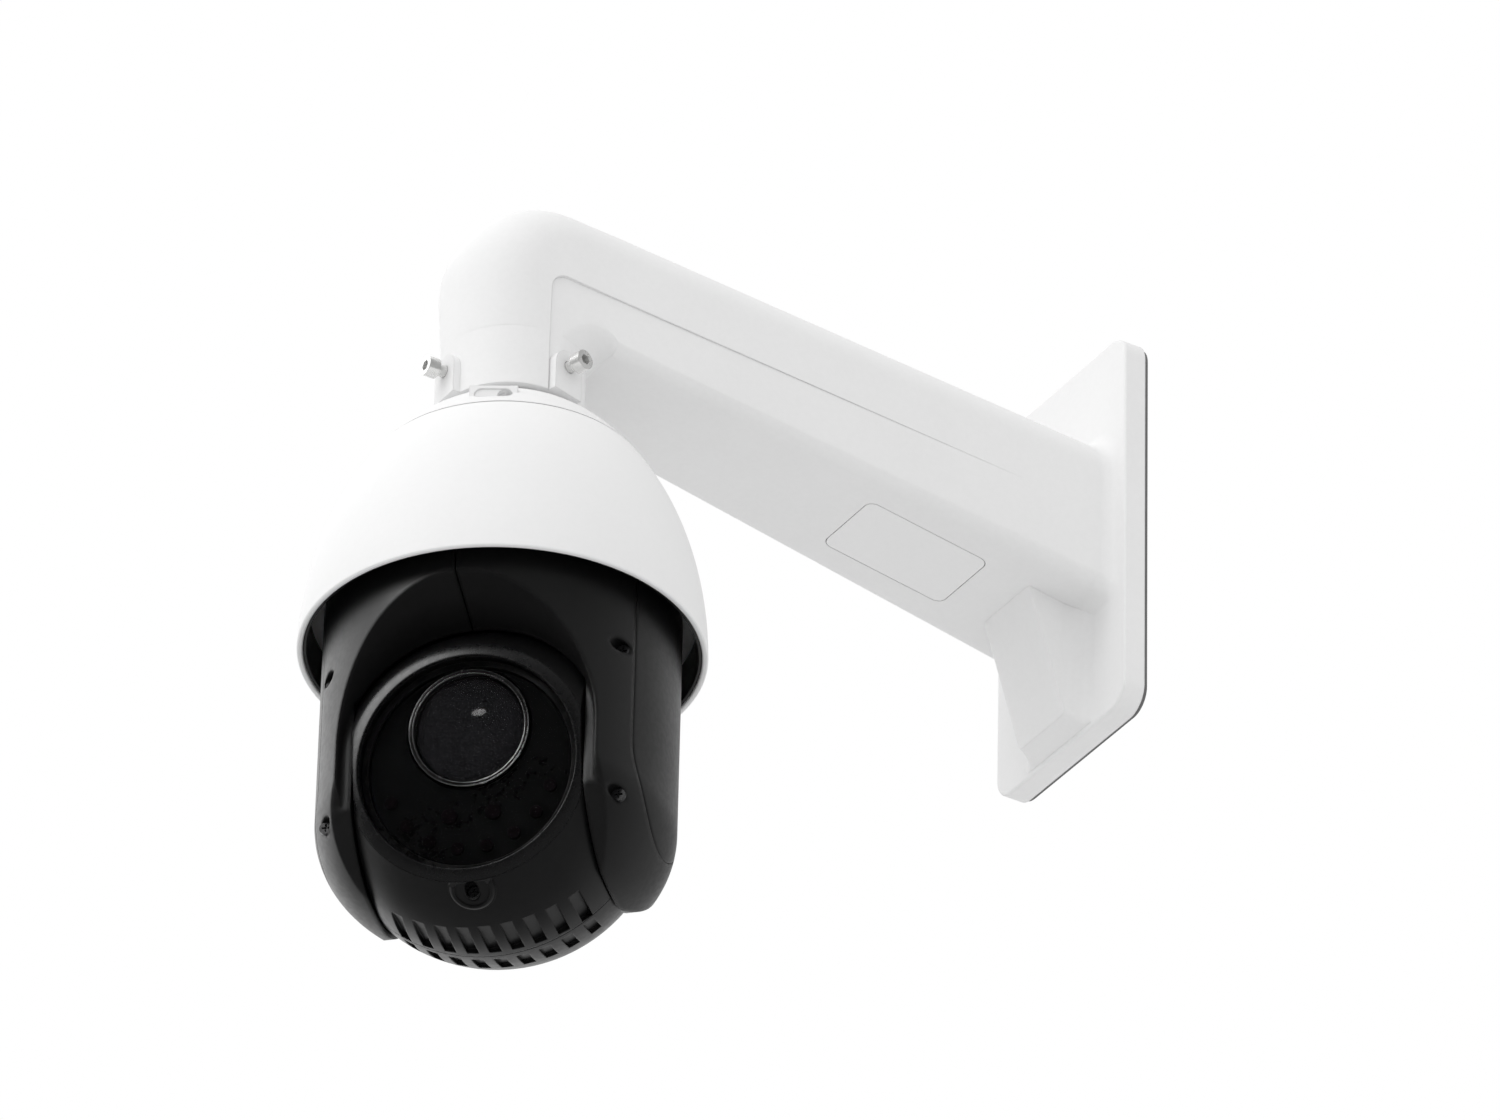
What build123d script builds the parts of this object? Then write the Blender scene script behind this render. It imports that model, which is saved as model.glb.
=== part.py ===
from math import acos, asin, cos, degrees, pi, radians, sin, sqrt, tan
import os

from build123d import *

os.makedirs("parts", exist_ok=True)

# Driving dimensions in millimetres

# Wall flange
flange_width = 97.0
flange_height = 182.0
flange_thickness = 10.0
flange_corner = 11.0
flange_edge_round = 1.2
gasket_thickness = 2.0
gasket_inset = 1.2
bolt_spacing_x = 66.0
bolt_spacing_z = 140.0
bolt_hole_radius = 3.4
bolt_hole_depth = 7.0
bolt_gasket_clearance = 1.6

# Bracket arm and socket
reach = 276.0
arm_root_half_width = 39.0
arm_root_top = 43.8
arm_root_bottom = -32.4
arm_rise = 28.8
arm_bottom_rise = 42.5
arm_top_round = 19.0
arm_bottom_round = 6.5
arm_flare = 6.0
elbow_round = 36.0
elbow_pivot_gap = 2.0
elbow_steps = 16
foot_half_width = 17.5
foot_flare = 9.0
foot_length = 26.8
foot_base_drop = 56.4
foot_knee_drop = 52.0
foot_round = 3.0
panel_depth = 0.8
panel_corner = 7.0
panel_root_height = 35.0
panel_tip_height = 22.5
duct_half_width = 24.0
duct_low_wall = 9.0
duct_high_wall = 11.0
socket_radius = 29.5
socket_bottom = -25.0
neck_radius = 25.0
neck_clearance = 0.4
neck_length = 43.0
neck_wall = 5.0

# Cable cover under the arm
cover_width = 37.0
cover_length = 58.0
cover_thickness = 2.4
cover_gap = 0.3
cover_middle = 75.8
cover_ledge = 4.0

# Clamp screws round the socket
clamp_spread = 106.0
clamp_height = 13.0
clamp_head_radius = 4.25
clamp_head_height = 5.0
clamp_shank_radius = 2.5
clamp_stand_off = 4.0
clamp_pad_radius = 7.5
clamp_pad_height = 2.2
hex_across = 4.0
hex_depth = 2.6

# Fixed dome housing
cowl_radius = 82.25
cap_height = 26.5
cowl_height = 86.0
egg_drop = 2.5
cowl_wall = 2.5
cap_wall = 3.5
cap_gap = 0.7
seal_thickness = 0.6
joint_flange_width = 10.0
joint_flange_height = 3.0
lock_angle = 57.0
lock_rise = 8.0
lock_pocket_width = 15.5
lock_pocket_height = 6.5
lock_pocket_shift = -4.5
liner_wall = 1.2
liner_height = 16.0
liner_gap = 0.15

# Pan drive
chassis_drop = 32.5
chassis_thickness = 3.0
chassis_gap = 0.6
ledge_width = 7.0
ledge_height = 5.0
shaft_radius = 10.0
shaft_bore = 7.0
gear_width = 6.0
pan_module = 1.0
pan_gear_teeth = 60
pan_pinion_teeth = 15
bearing_ring = 2.7
bearing_ball_radius = 1.7
bearing_width = 8.0
bearing_balls_count = 14
turntable_thickness = 4.0
turntable_rise = 15.5
motor_size = 28.0
pan_motor_height = 20.0

# Yoke
pan_angle = 44.5
yoke_clearance = 10.5
yoke_wall = 2.8
yoke_end_radius = 50.0
yoke_end_round = 37.0
arch_back = 44.0
arch_radius = 51.0
arch_slope = 0.375
arch_rise = 2.0
seam_forward = 32.4
seam_gap = 0.3
seam_tail = 210.0
parting_gap = 0.6
front_screw_inset = 12.35
front_screw_high = 40.3
front_screw_low = -26.3

# Tilting ball
tilt_drop = 67.5
tilt_angle = 12.0
ball_radius = 67.0
ball_wall = 3.2
ball_half_width = 46.5
ball_gap = 1.3
side_gap = 0.8
window_distance = 45.0
window_radius = 44.0
window_thickness = 3.0
window_gap = 0.25
window_lip = 2.7
window_seal_thickness = 0.8
lens_offset = 16.0
hood_radius = 24.6
hood_wall = 2.0
barrel_radius = 21.5
barrel_wall = 2.0
barrel_length = 56.0
axle_radius = 6.0
tilt_module = 0.8
tilt_gear_teeth = 48
tilt_pinion_teeth = 12
tilt_gear_width = 3.5
tilt_motor_length = 6.5
groove_count = 9
groove_pitch = 9.2
groove_width = 5.0
groove_depth = 1.9
groove_ramp = 8.0
front_groove_angle = 75.0
front_groove_length = 18.0
rear_groove_angle = 94.0
rear_groove_length = 13.0
boss_angle = 51.0
boss_pad_radius = 9.5
boss_pad_rise = 0.3

# Fits
running_fit = 0.05
screw_fit = 0.1
fixed_fit = 0.05

# Stations worked out from the dimensions above
flange_front = -(gasket_thickness + flange_thickness)
neck_top = socket_bottom + neck_length
cap_top = socket_bottom - cap_gap
seam_height = socket_bottom - cap_height
cowl_top = seam_height - seal_thickness
rim_height = seam_height - cowl_height
tilt_height = rim_height - tilt_drop
egg_centre = rim_height - egg_drop
egg_half_height = (cap_top - egg_centre) / sqrt(1 - (neck_radius / cowl_radius) ** 2)
chassis_top = seam_height - chassis_drop
chassis_bottom = chassis_top - chassis_thickness
turntable_bottom = rim_height + turntable_rise
turntable_top = turntable_bottom + turntable_thickness
clamp_level = socket_bottom + clamp_height
yoke_radius = cowl_radius - yoke_clearance
yoke_top = turntable_bottom - tilt_height
cavity_radius = ball_radius + ball_gap
cavity_half_width = ball_half_width + side_gap

# Frames: the dome axis, the turned head and the tilted ball
dome_axis = Axis((0, -reach, 0), (0, 0, 1))
dome_section = Plane((0, -reach, 0), x_dir=(1, 0, 0), z_dir=(0, -1, 0))
right = Vector(cos(radians(pan_angle)), sin(radians(pan_angle)), 0)
forward = Vector(sin(radians(pan_angle)), -cos(radians(pan_angle)), 0)
upward = Vector(0, 0, 1)
ball_centre = Vector(0, -reach, tilt_height)
sight = forward * cos(radians(tilt_angle)) - upward * sin(radians(tilt_angle))
crown = forward * sin(radians(tilt_angle)) + upward * cos(radians(tilt_angle))
tilt_axis = Axis(ball_centre, right)


def level(height):
    """Horizontal plane on the dome axis."""
    return Plane((0, -reach, height))


def wall_plane(distance):
    """Plane parallel to the wall, looking away from it, with Z up."""
    return Plane((0, distance, 0), x_dir=(1, 0, 0), z_dir=(0, -1, 0))


def head_front(distance):
    """Upright plane of the head that looks forward."""
    return Plane(ball_centre + forward * distance, x_dir=right, z_dir=forward)


def head_side(side, distance):
    """Upright plane of the head that looks out to one side."""
    return Plane(ball_centre + right * (side * distance), x_dir=forward * -side, z_dir=right * side)


def ball_front(distance):
    """Plane of the ball that looks along its line of sight."""
    return Plane(ball_centre + sight * distance, x_dir=right, z_dir=sight)


def radial(angle, distance, height):
    """Upright plane on a ray from the dome axis, looking outward."""
    ray = Vector(sin(radians(angle)), -cos(radians(angle)), 0)
    across = Vector(cos(radians(angle)), sin(radians(angle)), 0)
    return Plane(Vector(0, -reach, height) + ray * distance, x_dir=across, z_dir=ray)


def egg_radius(height, inset=0.0):
    """Radius of the egg-shaped housing at a height."""
    share = (height - egg_centre) / (egg_half_height - inset)
    return (cowl_radius - inset) * sqrt(1 - share * share)


def egg_angle(height, inset=0.0):
    """Ellipse angle of the egg-shaped housing at a height, in degrees."""
    share = (height - egg_centre) / (egg_half_height - inset)
    return 90 - degrees(acos(share))


def egg_arc(low, high, inset=0.0):
    """Stretch of the housing's outline between two heights."""
    EllipticalCenterArc(
        (0, egg_centre),
        cowl_radius - inset,
        egg_half_height - inset,
        egg_angle(low, inset),
        arc_size=egg_angle(high, inset) - egg_angle(low, inset),
    )


def tube(base, outer, inner, length, mode=Mode.ADD):
    """Round bar or tube that stands on a plane."""
    with BuildSketch(base) as outline:
        Circle(outer)
        if inner > 0:
            Circle(inner, mode=Mode.SUBTRACT)
    extrude(outline.sketch, amount=length, mode=mode)


def block(base, width, height, length, mode=Mode.ADD):
    """Rectangular bar that stands on a plane."""
    with BuildSketch(base) as outline:
        Rectangle(width, height)
    extrude(outline.sketch, amount=length, mode=mode)


def arm_half_width(y):
    """Half the arm's width at a distance from the wall."""
    share = (y + reach) / (flange_front + reach)
    return socket_radius + (arm_root_half_width - socket_radius) * share


def arm_top(y):
    """Height of the arm's upper line."""
    return arm_root_top + arm_rise * (flange_front - y) / (flange_front + reach)


def arm_bottom(y):
    """Height of the arm's lower line."""
    return arm_root_bottom + arm_bottom_rise * (flange_front - y) / (flange_front + reach)


def rounded_section(base, half_width, low, high, low_round, high_round):
    """Section with its own corner radius above and below."""
    with BuildSketch(base) as section:
        with BuildLine():
            Polyline(
                (-half_width, low),
                (half_width, low),
                (half_width, high),
                (-half_width, high),
                close=True,
            )
        make_face()
        corners = section.vertices().sort_by(Axis.Y)
        fillet(corners[:2], low_round)
        upper = section.vertices().sort_by(Axis.Y)[-2:]
        fillet(upper, high_round)
    return section.sketch


def gear_points(teeth, module, turn):
    """Corner points of every tooth: root, flank start, flank middle and tip on each side."""
    pitch_radius = teeth * module / 2
    base_radius = pitch_radius * cos(radians(20))
    tip_radius = pitch_radius + 0.85 * module
    root_radius = pitch_radius - 1.15 * module
    start_radius = max(base_radius, root_radius)
    half_tooth = pi / (2 * teeth) - 0.07 * module / pitch_radius

    def half_angle(radius):
        pressure = acos(min(1.0, base_radius / radius))
        return half_tooth + tan(radians(20)) - radians(20) - tan(pressure) + pressure

    def point(radius, angle):
        return (radius * cos(angle), radius * sin(angle))

    middle_radius = (start_radius + tip_radius) / 2
    result = []
    for tooth in range(teeth):
        centre = radians(turn) + 2 * pi * tooth / teeth
        left = [point(root_radius, centre - half_angle(start_radius))]
        left += [point(r, centre - half_angle(r)) for r in (start_radius, middle_radius, tip_radius)]
        rise = [point(r, centre + half_angle(r)) for r in (tip_radius, middle_radius, start_radius)]
        rise += [point(root_radius, centre + half_angle(start_radius))]
        result.append(left + rise)
    return result


def gear_face(base, teeth, module, turn, bore):
    """Spur gear outline on a plane, with its bore."""
    with BuildSketch(base) as outline:
        with BuildLine():
            points = gear_points(teeth, module, turn)
            for index, tooth in enumerate(points):
                following = points[(index + 1) % teeth]
                if tooth[0] != tooth[1]:
                    Line(tooth[0], tooth[1])
                ThreePointArc(tooth[1], tooth[2], tooth[3])
                Line(tooth[3], tooth[4])
                ThreePointArc(tooth[4], tooth[5], tooth[6])
                if tooth[6] != tooth[7]:
                    Line(tooth[6], tooth[7])
                Line(tooth[7], following[0])
        make_face()
        if bore > 0:
            Circle(bore, mode=Mode.SUBTRACT)
    return outline.sketch


# Wall gasket
with BuildPart() as wall_gasket:
    with BuildSketch(wall_plane(0)):
        RectangleRounded(
            flange_width - 2 * gasket_inset,
            flange_height - 2 * gasket_inset,
            flange_corner - gasket_inset,
        )
        with GridLocations(bolt_spacing_x, bolt_spacing_z, 2, 2):
            Circle(bolt_hole_radius + bolt_gasket_clearance, mode=Mode.SUBTRACT)
        duct_middle = (arm_root_bottom + duct_low_wall + arm_root_top - duct_high_wall) / 2
        duct_height = arm_root_top - duct_high_wall - arm_root_bottom - duct_low_wall
        with Locations((0, duct_middle)):
            RectangleRounded(2 * duct_half_width + 2, duct_height + 2, 9, mode=Mode.SUBTRACT)
    extrude(amount=gasket_thickness)
wall_gasket.part.label = "wall_gasket"
export_step(wall_gasket.part, "parts/wall_gasket.step")

# Bracket casting: flange, arm, elbow and socket in one piece
pivot_y = -reach + socket_radius + elbow_pivot_gap
pivot_z = arm_bottom(pivot_y) - elbow_pivot_gap
top_slope = arm_rise / (flange_front + reach)
slope_length = sqrt(1 + top_slope * top_slope)
elbow_y = -reach - socket_radius + elbow_round
elbow_z = arm_top(elbow_y) - elbow_round * slope_length
tangent_y = elbow_y + elbow_round * top_slope / slope_length


def elbow_outer(angle):
    """Distance from the elbow's pivot to its outer line along a ray."""
    run = sin(radians(angle))
    climb = cos(radians(angle))
    to_front = (pivot_y + reach + socket_radius) / max(run, 0.01)
    if pivot_z + to_front * climb < elbow_z:
        return to_front
    to_top = (arm_top(pivot_y) - pivot_z) / (climb - top_slope * run)
    if pivot_y - to_top * run > tangent_y:
        return to_top
    offset_y = pivot_y - elbow_y
    offset_z = pivot_z - elbow_z
    along = -offset_y * run + offset_z * climb
    apart = offset_y * offset_y + offset_z * offset_z - elbow_round * elbow_round
    return -along + sqrt(along * along - apart)


def elbow_plane(angle):
    """Plane of the elbow that fans round its pivot from the arm to the socket."""
    run = sin(radians(angle))
    climb = cos(radians(angle))
    return Plane((0, pivot_y, pivot_z), x_dir=(1, 0, 0), z_dir=(0, -climb, -run))


panel_end = flange_front - 2 * arm_flare
panel_end_width = arm_half_width(panel_end) + 0.1
with BuildPart() as panel_cutter:
    with BuildSketch(Plane.YZ) as panel_outline:
        with BuildLine():
            Polyline(
                (-reach, socket_bottom - 10),
                (-reach, arm_bottom(-reach) + panel_tip_height),
                (panel_end, arm_bottom(panel_end) + panel_root_height),
                (panel_end, arm_root_bottom - 10),
                close=True,
            )
        make_face()
        panel_start = panel_outline.vertices().group_by(Axis.X)[0]
        fillet(panel_start.sort_by(Axis.Y)[-1], panel_corner)
    extrude(amount=arm_root_half_width + 10, both=True)
    with BuildSketch(Plane.XY.offset(arm_root_bottom - 20)):
        with BuildLine():
            Polyline(
                (panel_end_width, panel_end),
                (socket_radius - panel_depth, -reach),
                (-socket_radius + panel_depth, -reach),
                (-panel_end_width, panel_end),
                close=True,
            )
        make_face()
    extrude(amount=200, mode=Mode.SUBTRACT)

cover_y = flange_front - cover_middle
cover_normal = Vector(0, -arm_bottom_rise, -(flange_front + reach)).normalized()
cover_plane = Plane((0, cover_y, arm_bottom(cover_y)), x_dir=(1, 0, 0), z_dir=cover_normal)

with BuildPart() as foot:
    foot_sections = []
    for step in range(5):
        bend = radians(22.5 * step)
        y = flange_front - foot_flare * (1 - cos(bend))
        spread = foot_flare * (1 - sin(bend))
        share = (flange_front - y) / foot_flare
        low = arm_root_bottom - foot_base_drop + (foot_base_drop - foot_knee_drop) * share
        high = arm_root_bottom + foot_flare
        foot_base = wall_plane(y)
        foot_sections.append(rounded_section(foot_base, foot_half_width + spread, low, high, foot_round, 1))
    foot_front = flange_front - foot_length
    foot_base = wall_plane(foot_front)
    low = arm_bottom(foot_front)
    foot_sections.append(rounded_section(foot_base, foot_half_width, low, high, foot_round, 1))
    loft(foot_sections, ruled=True)

with BuildPart() as bracket_casting:
    with BuildSketch(wall_plane(-gasket_thickness)):
        RectangleRounded(flange_width, flange_height, flange_corner)
    extrude(amount=flange_thickness)
    front_edges = bracket_casting.faces().sort_by(Axis.Y)[0].edges()
    fillet(front_edges, flange_edge_round)
    arm_sections = []
    for step in range(5):
        bend = radians(22.5 * step)
        y = flange_front - arm_flare * (1 - cos(bend))
        spread = arm_flare * (1 - sin(bend))
        half = arm_half_width(y) + spread
        low = arm_bottom(y) - spread
        high = arm_top(y) + spread
        base = wall_plane(y)
        arm_sections.append(rounded_section(base, half, low, high, arm_bottom_round, arm_top_round))
    for step in range(elbow_steps + 1):
        angle = 90 * step / elbow_steps
        share = step / elbow_steps
        half = arm_half_width(pivot_y) * (1 - share) + socket_radius * share
        high = elbow_outer(angle)
        full_round = socket_radius - 0.1
        low_round = arm_bottom_round + (full_round - arm_bottom_round) * share
        high_round = arm_top_round + (full_round - arm_top_round) * share
        plane = elbow_plane(angle)
        arm_sections.append(rounded_section(plane, half, elbow_pivot_gap, high, low_round, high_round))
    loft(arm_sections, ruled=True)
    add(foot.part)
    tube(level(socket_bottom), socket_radius, 0, pivot_z - socket_bottom)
    add(panel_cutter.part, mode=Mode.SUBTRACT)
    for angle in (0, clamp_spread, -clamp_spread):
        pad_base = radial(angle, socket_radius - 6, clamp_level)
        with BuildSketch(pad_base):
            Circle(clamp_pad_radius)
            with Locations((0, -clamp_height / 2)):
                Rectangle(2 * clamp_pad_radius, clamp_height)
        extrude(amount=6 + clamp_pad_height)
    duct_low = arm_root_bottom + duct_low_wall
    duct_high = arm_root_top - duct_high_wall
    duct_root = rounded_section(wall_plane(-gasket_thickness), duct_half_width, duct_low, duct_high, 8, 8)
    duct_low = arm_bottom(-reach) + duct_low_wall - 2
    duct_high = arm_top(-reach) - duct_high_wall - 11
    duct_tip = rounded_section(wall_plane(-reach), duct_half_width - 3, duct_low, duct_high, 8, 8)
    loft([duct_root, duct_tip], ruled=True, mode=Mode.SUBTRACT)
    with BuildSketch(dome_section):
        with BuildLine():
            bore = neck_radius + neck_clearance
            bore_top = neck_top + 2
            Polyline((0, bore_top + bore), (0, socket_bottom), (bore, socket_bottom), (bore, bore_top))
            CenterArc((0, bore_top), bore, 0, 90)
        make_face()
    revolve(axis=dome_axis, mode=Mode.SUBTRACT)
    for angle in (0, clamp_spread, -clamp_spread):
        clamp_hole = radial(angle, 0, clamp_level)
        tube(clamp_hole, clamp_shank_radius + screw_fit, 0, socket_radius + 6, Mode.SUBTRACT)
    with BuildSketch(wall_plane(-gasket_thickness)):
        with GridLocations(bolt_spacing_x, bolt_spacing_z, 2, 2):
            Circle(bolt_hole_radius)
    extrude(amount=bolt_hole_depth, mode=Mode.SUBTRACT)
    with BuildSketch(cover_plane):
        RectangleRounded(cover_width + 2 * cover_gap, cover_length + 2 * cover_gap, 4 + cover_gap)
    extrude(amount=-cover_thickness, mode=Mode.SUBTRACT)
    with BuildSketch(cover_plane):
        RectangleRounded(cover_width - 2 * cover_ledge, cover_length - 2 * cover_ledge, 3)
    extrude(amount=-(duct_low_wall + 6), mode=Mode.SUBTRACT)
bracket_casting.part.label = "bracket_casting"
export_step(bracket_casting.part, "parts/bracket_casting.step")

# Cable cover under the arm, flush with it
with BuildPart() as cable_cover:
    with BuildSketch(cover_plane):
        RectangleRounded(cover_width, cover_length, 4)
    extrude(amount=-cover_thickness)
    with BuildSketch(cover_plane.offset(-cover_thickness)):
        lip_width = cover_width - 2 * cover_ledge - 2 * cover_gap
        lip_length = cover_length - 2 * cover_ledge - 2 * cover_gap
        RectangleRounded(lip_width, lip_length, 3)
        RectangleRounded(lip_width - 3.4, lip_length - 3.4, 2, mode=Mode.SUBTRACT)
    extrude(amount=-4)
cable_cover.part.label = "cable_cover"
export_step(cable_cover.part, "parts/cable_cover.step")

# Clamp screws that hold the neck in the socket
groove_radius = neck_radius - 1.5
clamp_head_start = socket_radius + clamp_pad_height + clamp_stand_off
with BuildPart() as clamp_screws:
    for angle in (0, clamp_spread, -clamp_spread):
        tip = groove_radius + 0.2
        tube(radial(angle, tip, clamp_level), clamp_shank_radius, 0, clamp_head_start - tip)
        tube(radial(angle, clamp_head_start, clamp_level), clamp_head_radius, 0, clamp_head_height)
        with BuildSketch(radial(angle, clamp_head_start + clamp_head_height, clamp_level)):
            RegularPolygon(hex_across / 2, 6, major_radius=False)
        extrude(amount=-hex_depth, mode=Mode.SUBTRACT)
clamp_screws.part.label = "clamp_screws"
export_step(clamp_screws.part, "parts/clamp_screws.step")

# Top cap with its neck
joint_radius = egg_radius(seam_height) - joint_flange_width
joint_screw_radius = joint_radius + 3
lock_level = seam_height + lock_rise
lock_radius = egg_radius(lock_level)
with BuildPart() as top_cap:
    with BuildSketch(dome_section):
        with BuildLine():
            roof = cap_top - cap_wall
            step_height = seam_height + joint_flange_height
            Polyline(
                (egg_radius(cap_top), cap_top),
                (neck_radius, neck_top),
                (neck_radius - neck_wall, neck_top),
                (neck_radius - neck_wall, roof),
                (egg_radius(roof, cap_wall), roof),
            )
            egg_arc(step_height, roof, cap_wall)
            Polyline(
                (egg_radius(step_height, cap_wall), step_height),
                (joint_radius, step_height),
                (joint_radius, seam_height),
                (egg_radius(seam_height), seam_height),
            )
            egg_arc(seam_height, cap_top)
        make_face()
    revolve(axis=dome_axis)
    tube(level(clamp_level - 4), neck_radius + 1, groove_radius, 8, Mode.SUBTRACT)
    boss_end = egg_radius(lock_level + 5) - 0.5
    tube(radial(lock_angle, lock_radius - 12, lock_level), 5, 0, boss_end - lock_radius + 12)
    with BuildSketch(radial(lock_angle, lock_radius - 8, lock_level)):
        with Locations((lock_pocket_shift, 0)):
            Rectangle(lock_pocket_width + 4, lock_pocket_height + 3)
    extrude(amount=6.5)
    with BuildSketch(radial(lock_angle, lock_radius - 2, lock_level)):
        with Locations((lock_pocket_shift, 0)):
            SlotOverall(lock_pocket_width, lock_pocket_height)
    extrude(amount=16, mode=Mode.SUBTRACT)
    tube(radial(lock_angle, lock_radius - 5, lock_level), 3, 0, 12, Mode.SUBTRACT)
    tube(radial(lock_angle, lock_radius - 14, lock_level), 2 + screw_fit, 0, 12, Mode.SUBTRACT)
    with BuildSketch(level(seam_height)):
        with PolarLocations(joint_screw_radius, 4, 45):
            Circle(1.5 + screw_fit)
    extrude(amount=joint_flange_height, mode=Mode.SUBTRACT)
top_cap.part.label = "top_cap"
export_step(top_cap.part, "parts/top_cap.step")

# Lock screw sunk in the cap
with BuildPart() as lock_screw:
    tube(radial(lock_angle, lock_radius - 12, lock_level), 2, 0, 6.5)
    with BuildSketch(radial(lock_angle, lock_radius - 5.5, lock_level)):
        RegularPolygon(1, 6, major_radius=False)
    extrude(amount=-2, mode=Mode.SUBTRACT)
lock_screw.part.label = "lock_screw"
export_step(lock_screw.part, "parts/lock_screw.step")

# Seal between cap and cowl
with BuildPart() as cap_seal:
    tube(level(cowl_top), egg_radius(cowl_top) - 1, joint_radius + 6, seal_thickness)
cap_seal.part.label = "cap_seal"
export_step(cap_seal.part, "parts/cap_seal.step")

# Cowl
chassis_radius = egg_radius(chassis_top, cowl_wall) - chassis_gap
chassis_screw_radius = chassis_radius - ledge_width / 2
with BuildPart() as cowl:
    with BuildSketch(dome_section):
        with BuildLine():
            egg_arc(rim_height, cowl_top)
            Line((egg_radius(cowl_top), cowl_top), (egg_radius(cowl_top, cowl_wall), cowl_top))
            egg_arc(rim_height, cowl_top, cowl_wall)
            Line((egg_radius(rim_height), rim_height), (egg_radius(rim_height, cowl_wall), rim_height))
        make_face()
    revolve(axis=dome_axis)
    fillet(cowl.edges().group_by(Axis.Z)[0], 0.9)
    flange_radius = egg_radius(cowl_top) - 0.6
    tube(level(cowl_top - joint_flange_height), flange_radius, joint_radius, joint_flange_height)
    ledge_radius = egg_radius(chassis_bottom) - 0.6
    tube(level(chassis_bottom - ledge_height), ledge_radius, chassis_radius - ledge_width, ledge_height)
    with BuildSketch(level(cowl_top)):
        with PolarLocations(joint_screw_radius, 4, 45):
            Circle(1.5 + screw_fit)
    extrude(amount=-joint_flange_height, mode=Mode.SUBTRACT)
    with BuildSketch(level(chassis_bottom)):
        with PolarLocations(chassis_screw_radius, 4, 20):
            Circle(1.5 + screw_fit)
    extrude(amount=-ledge_height + 1, mode=Mode.SUBTRACT)
cowl.part.label = "cowl"
export_step(cowl.part, "parts/cowl.step")

# Screws between cowl and cap
with BuildPart() as cap_screws:
    flange_under = cowl_top - joint_flange_height
    with BuildSketch(level(flange_under - 2)):
        with PolarLocations(joint_screw_radius, 4, 45):
            Circle(2.75)
    extrude(amount=2)
    with BuildSketch(level(flange_under)):
        with PolarLocations(joint_screw_radius, 4, 45):
            Circle(1.5)
    extrude(amount=2 * joint_flange_height + seal_thickness - 0.3)
cap_screws.part.label = "cap_screws"
export_step(cap_screws.part, "parts/cap_screws.step")

# Dark liner inside the cowl's rim
liner_low = rim_height + 1
liner_high = liner_low + liner_height
liner_inset = cowl_wall + liner_gap
with BuildPart() as cowl_liner:
    with BuildSketch(dome_section):
        with BuildLine():
            outer = liner_inset
            inner = liner_inset + liner_wall
            egg_arc(liner_low, liner_high, outer)
            Line((egg_radius(liner_high, outer), liner_high), (egg_radius(liner_high, inner), liner_high))
            egg_arc(liner_low, liner_high, inner)
            Line((egg_radius(liner_low, outer), liner_low), (egg_radius(liner_low, inner), liner_low))
        make_face()
    revolve(axis=dome_axis)
cowl_liner.part.label = "cowl_liner"
export_step(cowl_liner.part, "parts/cowl_liner.step")

# Chassis plate on the cowl's ledge
standoff_radius = chassis_radius - 26
with BuildPart() as chassis_plate:
    with BuildSketch(level(chassis_bottom)):
        Circle(chassis_radius)
        Circle(shaft_radius + fixed_fit, mode=Mode.SUBTRACT)
        with PolarLocations(chassis_screw_radius, 4, 20):
            Circle(1.5 + screw_fit, mode=Mode.SUBTRACT)
        with PolarLocations(standoff_radius + 11, 3, 80):
            SlotOverall(16, 7, mode=Mode.SUBTRACT)
    extrude(amount=chassis_thickness)
chassis_plate.part.label = "chassis_plate"
export_step(chassis_plate.part, "parts/chassis_plate.step")

# Chassis screws
with BuildPart() as chassis_screws:
    with BuildSketch(level(chassis_top)):
        with PolarLocations(chassis_screw_radius, 4, 20):
            Circle(2.75)
    extrude(amount=2)
    with BuildSketch(level(chassis_top)):
        with PolarLocations(chassis_screw_radius, 4, 20):
            Circle(1.5)
    extrude(amount=-(chassis_thickness + ledge_height - 1.5))
chassis_screws.part.label = "chassis_screws"
export_step(chassis_screws.part, "parts/chassis_screws.step")

# Main board on its stand-offs
board_height = chassis_top + 14
board_radius = standoff_radius + 4
with BuildPart() as board_standoffs:
    with BuildSketch(level(chassis_top)):
        with PolarLocations(standoff_radius, 4, 45):
            RegularPolygon(2.75, 6, major_radius=False)
    extrude(amount=board_height - chassis_top)
board_standoffs.part.label = "board_standoffs"
export_step(board_standoffs.part, "parts/board_standoffs.step")

with BuildPart() as main_board:
    tube(level(board_height), board_radius, 0, 1.6)
    board_top = level(board_height + 1.6)
    with BuildSketch(board_top):
        with Locations((0, 8)):
            Rectangle(16, 16)
        with Locations((-18, -4)):
            Rectangle(9, 12)
        with Locations((16, -14)):
            Rectangle(12, 9)
    extrude(amount=1.4)
    with BuildSketch(board_top):
        with Locations((2, -24)):
            Rectangle(22, 6)
        with Locations((-24, 16)):
            Circle(4)
        with Locations((24, 12)):
            Circle(4)
    extrude(amount=8)
main_board.part.label = "main_board"
export_step(main_board.part, "parts/main_board.step")

# Hollow pan shaft and slip ring
shaft_bottom = turntable_bottom - 1
with BuildPart() as pan_shaft:
    tube(level(shaft_bottom), shaft_radius, shaft_bore, chassis_top - shaft_bottom)
    tube(level(chassis_top), shaft_radius + 5, shaft_bore, 3)
pan_shaft.part.label = "pan_shaft"
export_step(pan_shaft.part, "parts/pan_shaft.step")

with BuildPart() as slip_ring:
    tube(level(chassis_top - 20), shaft_bore - 0.1, 0, 23)
    tube(level(chassis_top + 3), shaft_bore + 2, 0, 2)
    tube(level(chassis_top + 5), shaft_bore - 2, 0, 3)
slip_ring.part.label = "slip_ring"
export_step(slip_ring.part, "parts/slip_ring.step")

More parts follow.
